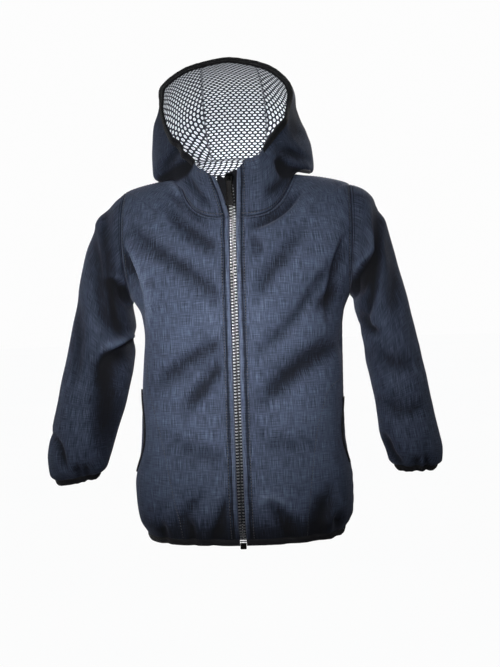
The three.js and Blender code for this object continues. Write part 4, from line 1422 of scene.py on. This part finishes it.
class JACKET_OT_bindings(bpy.types.Operator):
    """Bind the hood, cuffs, hem and pockets with elastic"""

    bl_idname = "jacket.bindings"
    bl_label = "Elastic bindings"

    def execute(self, context):
        panels = cut_cloth()
        fronts = [panels["front_left"], panels["front_right"]]
        edge, before = [
            np.concatenate([fronts[0].lined[k], panels["back"].lined[k][1:], fronts[1].lined[k][:-1][::-1]])
            for k in (0, 6)
        ]
        make_binding(binding_panel("hem_binding", *hanging_edges(edge, before, 0.35)), 0.3)
        for name in SIDES:
            sleeve = panels[f"sleeve_{name}"]
            low, high = hanging_edges(sleeve.lined[-1], sleeve.lined[-6], 0.5)
            make_binding(binding_panel(f"cuff_binding_{name}", high, low, True, sleeve.turned), 1.1)
        columns = hood_columns()
        runs, around = [], []
        for name in SIDES:
            bound = columns > BOUND_FROM[name] + 0.004
            at = np.concatenate([columns[bound], STRIP[1:]])
            rows = [panels[f"hood_side_{name}"], panels["hood_centre"]]
            side, centre = [(panel.lined - panel.points)[-1] for panel in rows]
            centre = centre if name == "left" else centre[::-1]
            moved = np.concatenate([side[bound], centre[1 : len(STRIP)]])
            cloth_edge = hood_point(name, at, cloth_top(name, at, 1.0)) + moved
            free_edge = hood_point(name, at, 1.0) + moved
            runs.append((cloth_edge + unit(cloth_edge - free_edge) * OVERLAP, free_edge))
            around.append(at)
        low, high, around = [
            np.concatenate([left, right[::-1][1:]]) for left, right in [*zip(*runs), around]
        ]
        band = binding_panel("hood_binding", low, high)
        share_normals([band])
        roll = HOOD_ROLL * smooth(around, 0.45, 0.8)[None, :] * smooth(band.share, 0.1, 1)[:, None]
        band.points = band.points - band.normals * roll[..., None]
        make_binding(band, 2.2, 3.4)
        for name in SIDES:
            bottom, top, side, bow = POCKET[name]
            levels = np.linspace(bottom, top, 40)
            middle = side - bow * np.sin(np.pi * (levels - bottom) / (top - bottom))
            sides = [torso_point(levels, name, -1, middle + wide) for wide in (0, POCKET_WIDTH)]
            panel = binding_panel(f"pocket_binding_{name}", *sides, count=6)
            panel.points = panel.points.transpose(1, 0, 2)
            panel.shade = panel.shade.T
            panel.turned = panels[f"front_{name}"].turned
            share_normals([panel])
            crown = np.sin(np.pi * panel.share)[None, :] ** 0.6
            outer = panel.points + panel.normals * (0.5 + 1.9 * crown)[..., None]
            inner = panel.points + panel.normals * 0.3
            panel.uv = panel.flat_map()
            obj = shell(panel.name + "_band", panel, outer, inner, ["elastic"])
            finish_piece(obj, [panel.name])
        return {"FINISHED"}


def zip_course():
    """The line of the closed zip, from the hem up to the collar: points on the cloth edge's face."""
    body = torso_point(BODY_LEVELS, "left", -1, across_at(BODY_LEVELS, "left", ZIP_EDGE))
    collar = hood_point("left", 0.0, np.linspace(0, 1, 30)[1:], 0)
    return np.concatenate([body, collar])


def zip_depth(z):
    course = zip_course()
    return np.interp(z, course[:, 2], course[:, 1])


def zip_tape(name):
    """The woven tape behind the cloth edges, splayed where the collar is open."""
    ends = [across_at(BODY_LEVELS, name, x) for x in (ZIP_EDGE, TAPE_REACH)]
    edge, reach = [torso_point(BODY_LEVELS, name, -1, across) for across in ends]
    ups = np.linspace(0, TAPE_TOP, 24)[1:]
    column = coarse_column(name, 1)
    edge = np.concatenate([edge, hood_point(name, 0.0, ups, 0)])
    reach = np.concatenate([reach, hood_point(name, column, ups, 0)])
    bead = edge.copy()
    bead[:, 0] = zip_line(bead[:, 2]) + SIDES[name] * 0.12
    opening = smooth(edge[:, 2], SLIDER_TOP - 4, SLIDER_TOP + 12)
    bead[:, 0] += SIDES[name] * (3.0 * opening + 1.4 * opening**2)
    share = np.array([0, 0.12, 0.3, 0.5, 0.75, 1.0])
    inner = bead[:, None] + (edge - bead)[:, None] * np.array([0, 0.35, 0.7])[:, None]
    outer = edge[:, None] + (reach - edge)[:, None] * share[:, None]
    return Panel(f"zip_tape_{name}", np.concatenate([inner, outer], 1), SIDES[name] < 0)


def prism(outline, levels, hole=None):
    """A plate with soft edges: its outline drawn in by an inset at each level, low to high."""
    verts, faces, size = [], [], len(outline)
    paths = [(outline, 1)] if hole is None else [(outline, 1), (hole, -1)]
    for inset_by, level in levels:
        for path, way in paths:
            path = np.array(path, float)
            ahead, behind = np.roll(path, -1, 0) - path, path - np.roll(path, 1, 0)
            turn = unit(unit(ahead) + unit(behind))
            inward = np.stack([-turn[:, 1], turn[:, 0]], -1) * way
            verts += [(x, y, level) for x, y in path + inward * inset_by]
    rings = len(paths)
    for i in range(len(levels) - 1):
        for r in range(rings):
            for k in range(size):
                a, b = (i * rings + r) * size + k, (i * rings + r) * size + (k + 1) % size
                c, d = a + rings * size, b + rings * size
                faces.append((a, b, d, c) if r == 0 else (b, a, c, d))
    top = (len(levels) - 1) * rings * size
    if hole is None:
        faces += [tuple(reversed(range(size))), tuple(range(top, top + size))]
    else:
        for k in range(size):
            n = (k + 1) % size
            faces.append((n, k, size + k, size + n))
            faces.append((top + k, top + n, top + size + n, top + size + k))
    return verts, faces


def solid(name, parts, finish, soft=False):
    """One object of several closed shapes given as (verts, faces, 4x4 matrix), in millimetres."""
    verts, faces = [], []
    for part_verts, part_faces, matrix in parts:
        start = len(verts)
        verts += [matrix @ Vector(v) for v in part_verts]
        faces += [tuple(start + i for i in face) for face in part_faces]
    return plain_object(name, verts, faces, finish, soft)


def mirrored(half):
    """An outline that is the same on both sides, from its right half, its lowest point first."""
    left = [(-x, *rest) for x, *rest in half]
    return [left[0], *half, *left[:0:-1]]


def round_outline(points):
    """An outline whose corners (x, y, radius) are rounded."""
    out = []
    count = len(points)
    for i, (x, y, radius) in enumerate(points):
        here = Vector((x, y))
        before = (Vector(points[i - 1][:2]) - here).normalized()
        after = (Vector(points[(i + 1) % count][:2]) - here).normalized()
        for t in (0, 1 / 3, 2 / 3, 1):
            out.append(here + before * radius * (1 - t) ** 2 + after * radius * t**2)
    return [tuple(p) for p in out]


def place(x, y, z, turn=(0, 0, 0)):
    moved = Matrix.Translation((x, y, z))
    for axis, angle in zip("XYZ", turn):
        if angle:
            moved = moved @ Matrix.Rotation(math.radians(angle), 4, axis)
    return moved


def bead_ring(radius, thick, width, rings=20, around=6):
    """A ring about X, as the bridge that holds the tab."""
    verts, faces = [], []
    for i in range(rings):
        a = math.tau * i / rings
        for k in range(around):
            b = math.tau * k / around
            r = radius + thick * math.cos(b)
            verts.append((width * math.sin(b), r * math.cos(a), r * math.sin(a)))
    for i in range(rings):
        for k in range(around):
            a, b = i * around + k, i * around + (k + 1) % around
            c, d = (i + 1) % rings * around + k, (i + 1) % rings * around + (k + 1) % around
            faces.append((a, c, d, b))
    return verts, faces


def tooth_item():
    """One moulded tooth reaching over the middle of the chain, its head on the +Y side."""
    neck = mirrored([(0.8, -4.0), (0.8, -1.5), (0.45, -0.7), (0.7, 0.2), (0.5, 0.85)])
    head = mirrored([(0.75, -3.0), (0.9, -2.2), (0.7, -1.3)])
    parts = [prism(neck, [(0.2, -1.35), (0, -1.15), (0, -0.8), (0.2, -0.6)])]
    parts.append(prism(head, [(0, -0.7), (0, 1.0), (0.35, 1.5)]))
    return solid("tooth_item", [(*part, Matrix()) for part in parts], "zip_teeth")


class JACKET_OT_zip(bpy.types.Operator):
    """Make the tapes, teeth, slider, pull tab and end box of the zip"""

    bl_idname = "jacket.zip"
    bl_label = "Zip"

    def execute(self, context):
        sizes = context.scene.jacket_sizes
        for name in SIDES:
            panel = zip_tape(name)
            share_normals([panel])
            outer = panel.points - panel.normals * (PLY + 0.15)
            obj = shell(panel.name + "_weave", panel, outer, outer - panel.normals * 0.8, ["zip_tape"])
            finish_piece(obj, [panel.name])
        item = tooth_item()
        height = np.linspace(TEETH_BOTTOM + 1.5, TEETH_TOP, 160)
        for name, side in SIDES.items():
            line = np.stack([zip_line(height), zip_depth(height) + 0.9, height], -1)
            pitch = sizes.tooth_pitch / MM
            if side > 0:
                line = line[::-1]
                line = trim(line, (steps(line).sum() % pitch + pitch / 2) % pitch)
            up = np.tile([0.0, -1.0, 0.0], (len(line), 1))
            obj = set_along(f"zip_teeth_{name}_row", [(line, up)], item, pitch, "zip_teeth", 0.03)
            finish_piece(obj, [f"zip_teeth_{name}"])
        bpy.data.objects.remove(item)
        make_slider()
        make_pull()
        make_box()
        return {"FINISHED"}


def trim(line, length):
    """The line without a length at its start."""
    along = walked(line)
    at = np.concatenate([[length], along[along > length + 0.01]])
    return np.stack([np.interp(at, along, line[:, k]) for k in range(3)], -1)


def make_slider():
    """The slider: a front and a rear plate, the wedge between them and the bridge that holds the tab."""
    x, hinge_y, hinge_z = HINGE
    face = hinge_y + 5.6  # the cloth's face beside the slider
    body = round_outline(mirrored([(3.6, -7, 1.2), (5.6, 2.5, 2.5), (5.0, 7, 2.6), (1.6, 7.2, 1)]))
    wedge = mirrored([(2.2, -5.5), (3.2, 6.5)])
    upright = (90, 0, 0)
    parts = [
        (*prism(body, [(0.5, 1.0), (0, 1.5), (0, 3.0), (0.9, 3.6)]), place(x, face, -1, upright)),
        (*prism(body, [(0.5, 0), (0, 0.4), (0, 1.0), (0.4, 1.2)]), place(x, face + 5.0, -1, upright)),
        (*prism(wedge, [(0, 0), (0, 5.2)]), place(x, face + 4.2, -1, upright)),
        (*bead_ring(2.1, 0.8, 1.4), place(x, hinge_y, hinge_z)),
    ]
    finish_piece(solid("zip_slider_body", parts, "enamel", True), ["zip_slider"])


def shrunk(outline, wide, middle, high):
    """An outline drawn in sideways and towards a height."""
    return [(a * wide, middle + (b - middle) * high) for a, b in outline]


def make_pull():
    """The pull tab: its plate with the slot, a raised rim and an eyelet at its free end."""
    outline = round_outline(mirrored([(5.5, -35, 1.6), (5.3, -30, 1), (4.0, -17, 2), (4.0, 0.7, 0.7)]))
    slot = round_outline(mirrored([(1.9, -4.6, 0.5), (1.9, -3.6, 0.3), (1.9, -2.4, 0.3), (1.9, -0.7, 0.3)]))
    rim = round_outline(mirrored([(3.6, -33.4, 1.2), (2.7, -17, 1.5), (2.7, -7, 0.9)]))
    turns = np.linspace(0, math.tau, 16, endpoint=False)
    eye = [(2.0 * math.cos(a), -29.2 + 1.7 * math.sin(a)) for a in turns]
    parts = [
        prism(outline, [(0.25, -0.7), (0, -0.45), (0, 0.3), (0.35, 0.62)], slot),
        prism(rim, [(0, 0.2), (0, 0.7), (0.3, 0.95)], shrunk(rim, 0.66, -20.2, 0.9)),
        prism(eye, [(0, 0.2), (0, 0.75), (0.25, 1.0)], shrunk(eye, 0.45, -29.2, 0.45)),
    ]
    upright = place(*HINGE, (90, 0, 0))
    obj = solid("zip_pull_tab", [(*part, upright) for part in parts], "enamel")
    finish_piece(obj, ["zip_pull"], "pull")


def make_box():
    """The box at the zip's lower end, with its lip."""
    face = float(zip_depth(-455.0)) - 0.6
    block = round_outline(mirrored([(3.8, -466.5, 0.8), (3.8, -458.8, 0.6)]))
    lip = round_outline(mirrored([(3.4, -461.2, 0.4), (3.4, -459.1, 0.4)]))
    parts = [prism(block, [(0.4, -3.6), (0, -3.2), (0, -0.4), (0.5, 0.0)])]
    parts.append(prism(lip, [(0, -0.5), (0, 0.35), (0.3, 0.6)]))
    upright = place(0, face, 0, (90, 0, 0))
    obj = solid("zip_box_block", [(*part, upright) for part in parts], "enamel", True)
    finish_piece(obj, ["zip_box"])


# ---- Stitches ----


def on_cloth(panel, path):
    """A line given as x z points seen from the front, laid on the finished cloth."""
    rows, columns = panel.finished.shape[:2]
    index = np.arange(rows * columns).reshape(rows, columns)
    quads = np.stack([index[:-1, :-1], index[:-1, 1:], index[1:, 1:], index[1:, :-1]], -1).reshape(-1, 4)
    tree = BVHTree.FromPolygons(panel.finished.reshape(-1, 3).tolist(), quads.tolist())
    out, ups = [], []
    for x, z in fold_line(path):
        spot, normal, _, _ = tree.ray_cast(Vector((x, -300, z)), Vector((0, 1, 0)))
        if spot is not None:
            out.append(spot)
            ups.append(normal if normal.y < 0 else -normal)
    out, ups = np.array(out), unit(np.array(ups))
    return out + ups * LIFT, ups


class JACKET_OT_stitches(bpy.types.Operator):
    """Sew the visible topstitching"""

    bl_idname = "jacket.stitches"
    bl_label = "Topstitching"

    def execute(self, context):
        sizes = context.scene.jacket_sizes
        panels = cut_cloth()
        item = thread_item(sizes.stitch / MM, THREAD_RADIUS)
        lines = {}
        for name in SIDES:
            front, hood = panels[f"front_{name}"], panels[f"hood_side_{name}"]
            lines[f"front_{name}"] = [
                inset(front, "first", ZIP_STITCH, 4),
                row_part(inset(front, "last", TOPSTITCH), 6, 14),
                on_cloth(front, BAG_STITCHES[name]),
            ]
            lines[f"hood_side_{name}"] = [
                inset(hood, "first", ZIP_STITCH, 0, 5),
                corner_free(inset(hood, "bottom", TOPSTITCH), 8),
                collar_edge(hood, name),
            ]
        back = panels["back"]
        lines["back"] = [row_part(inset(back, edge, TOPSTITCH), 6, 14) for edge in ("first", "last")]
        centre = panels["hood_centre"]
        lines["hood_centre"] = [inset(centre, edge, 3.0) for edge in ("first", "last")]
        for node, runs in lines.items():
            obj = set_along(f"{node}_thread", runs, item, sizes.stitch_pitch / MM, "thread", 0.08)
            finish_piece(obj, [])
        bpy.data.objects.remove(item)
        return {"FINISHED"}


def row_part(line, low, high):
    """The part of a line down a body panel between two of the body's levels."""
    rows = slice(int(np.searchsorted(BODY_LEVELS, low)), int(np.searchsorted(BODY_LEVELS, high)) + 1)
    return line[0][rows], line[1][rows]


def corner_free(line, skip):
    """The line along a hood's lower edge, without the corner beside the zip."""
    far = np.linalg.norm(line[0] - line[0][0], axis=-1)
    keep = far > skip
    return line[0][keep], line[1][keep]


def collar_edge(panel, name):
    """The topstitch along the unbound upper edge of the collar."""
    points, ups = inset(panel, "top", TOPSTITCH)
    keep = hood_columns() < BOUND_FROM[name] - 0.01
    return corner_free((points[keep], ups[keep]), ZIP_STITCH)


class JACKET_OT_stage(bpy.types.Operator):
    """Set the pale floor, the soft studio lights and the camera"""

    bl_idname = "jacket.stage"
    bl_label = "Studio"

    def execute(self, context):
        look = context.scene.stage_look
        radius, drop, ring = 30.0, 1.1, 64  # of the round floor, in metres
        angles = np.linspace(0, math.tau, ring, endpoint=False)
        verts = np.stack([np.cos(angles) * radius, np.sin(angles) * radius, np.full(ring, -drop)], -1) / MM
        floor = plain_object("studio_floor", verts, [tuple(range(ring))], "studio_floor")
        floor.visible_diffuse = floor.visible_glossy = False
        add_light("key", (-0.75, -1.62, 0.75), 0.4, look.key_power, (1, 0.98, 0.96))
        add_light("band", (-0.1, -1.6, -0.05), 0.3, look.band_power, (1, 0.98, 1), (-0.01, 0, -0.2), 20)
        add_light("fill", (1.6, -1.3, 0.3), 1.2, look.fill_power, (0.86, 0.92, 1))
        add_light("behind", (0.3, 2.2, 0.9), 1.8, 40, (1, 1, 1))
        for name, side in SIDES.items():
            add_light(f"beside_{name}", (side * 2.2, 0.5, 0.6), 1.2, 9, (1, 1, 1))
        context.scene.world = world = bpy.data.worlds.new("studio")
        world.use_nodes = True
        tree = world.node_tree
        tree.nodes.clear()
        seen = add_node(tree, "ShaderNodeBackground", Color=(*look.backdrop, 1)).outputs[0]
        lit = add_node(tree, "ShaderNodeBackground", Color=(0.9, 0.94, 1, 1), Strength=0.045).outputs[0]
        straight = add_node(tree, "ShaderNodeLightPath").outputs["Is Camera Ray"]
        mixed = add_node(tree, "ShaderNodeMixShader", _0=straight, _1=lit, _2=seen)
        add_node(tree, "ShaderNodeOutputWorld", Surface=mixed.outputs[0])
        add_camera(context)
        return {"FINISHED"}


def add_light(name, spot, size, power, colour, aim=(0, 0, -0.15), spread=180):
    light = bpy.data.lights.new(name, "AREA")
    light.shape, light.energy, light.color, light.size = "SQUARE", power, colour, size
    light.spread = math.radians(spread)
    obj = new_object(name, light)
    obj.location = spot
    obj.rotation_euler = (Vector(aim) - Vector(spot)).to_track_quat("-Z", "Y").to_euler()


def add_camera(context):
    camera = bpy.data.cameras.new("camera")
    camera.sensor_width, camera.lens = 36, 76.1
    camera.clip_start, camera.clip_end = 0.05, 200
    context.scene.camera = obj = new_object("camera", camera)
    away = Vector((math.sin(CAMERA_TURN), -math.cos(CAMERA_TURN), 0))
    target = Vector((0, 0, CAMERA_HEIGHT))
    right = Vector((math.cos(CAMERA_TURN), math.sin(CAMERA_TURN), 0))
    upright = Vector((0, 0, 1))
    tilted_right = right * math.cos(CAMERA_ROLL) - upright * math.sin(CAMERA_ROLL)
    tilted_up = right * math.sin(CAMERA_ROLL) + upright * math.cos(CAMERA_ROLL)
    aim = target + tilted_right * AIM_RIGHT + tilted_up * AIM_UP
    obj.location = target + away * CAMERA_DISTANCE
    forward = (aim - obj.location).normalized()
    side = forward.cross(tilted_up).normalized()
    obj.rotation_euler = Matrix((side, side.cross(forward), -forward)).transposed().to_euler()


class JACKET_PT_panel(bpy.types.Panel):
    """Lists the jacket's pieces"""

    bl_label = "Softshell jacket"
    bl_idname = "JACKET_PT_panel"
    bl_space_type = "VIEW_3D"
    bl_region_type = "UI"
    bl_category = "Jacket"

    def draw(self, context):
        for group in (context.scene.jacket_sizes, context.scene.stage_look):
            for name in group.__annotations__:
                self.layout.prop(group, name)
        for operator in OPERATORS:
            self.layout.operator(operator.bl_idname)


OPERATORS = [
    JACKET_OT_stage,
    JACKET_OT_cloth,
    JACKET_OT_lining,
    JACKET_OT_bindings,
    JACKET_OT_zip,
    JACKET_OT_stitches,
]
CLASSES = [JacketSizes, StageLook, *OPERATORS, JACKET_PT_panel]


def register():
    for cls in CLASSES:
        bpy.utils.register_class(cls)
    bpy.types.Scene.jacket_sizes = bpy.props.PointerProperty(type=JacketSizes)
    bpy.types.Scene.stage_look = bpy.props.PointerProperty(type=StageLook)


def unregister():
    del bpy.types.Scene.jacket_sizes
    del bpy.types.Scene.stage_look
    for cls in reversed(CLASSES):
        bpy.utils.unregister_class(cls)


def main():
    """Builds the whole jacket in order."""
    register()
    bpy.context.scene.view_settings.view_transform = "Standard"
    make_finishes()
    bpy.ops.jacket.stage()
    bpy.ops.jacket.cloth()
    bpy.ops.jacket.lining()
    bpy.ops.jacket.bindings()
    bpy.ops.jacket.zip()
    bpy.ops.jacket.stitches()


if __name__ == "__main__":
    main()
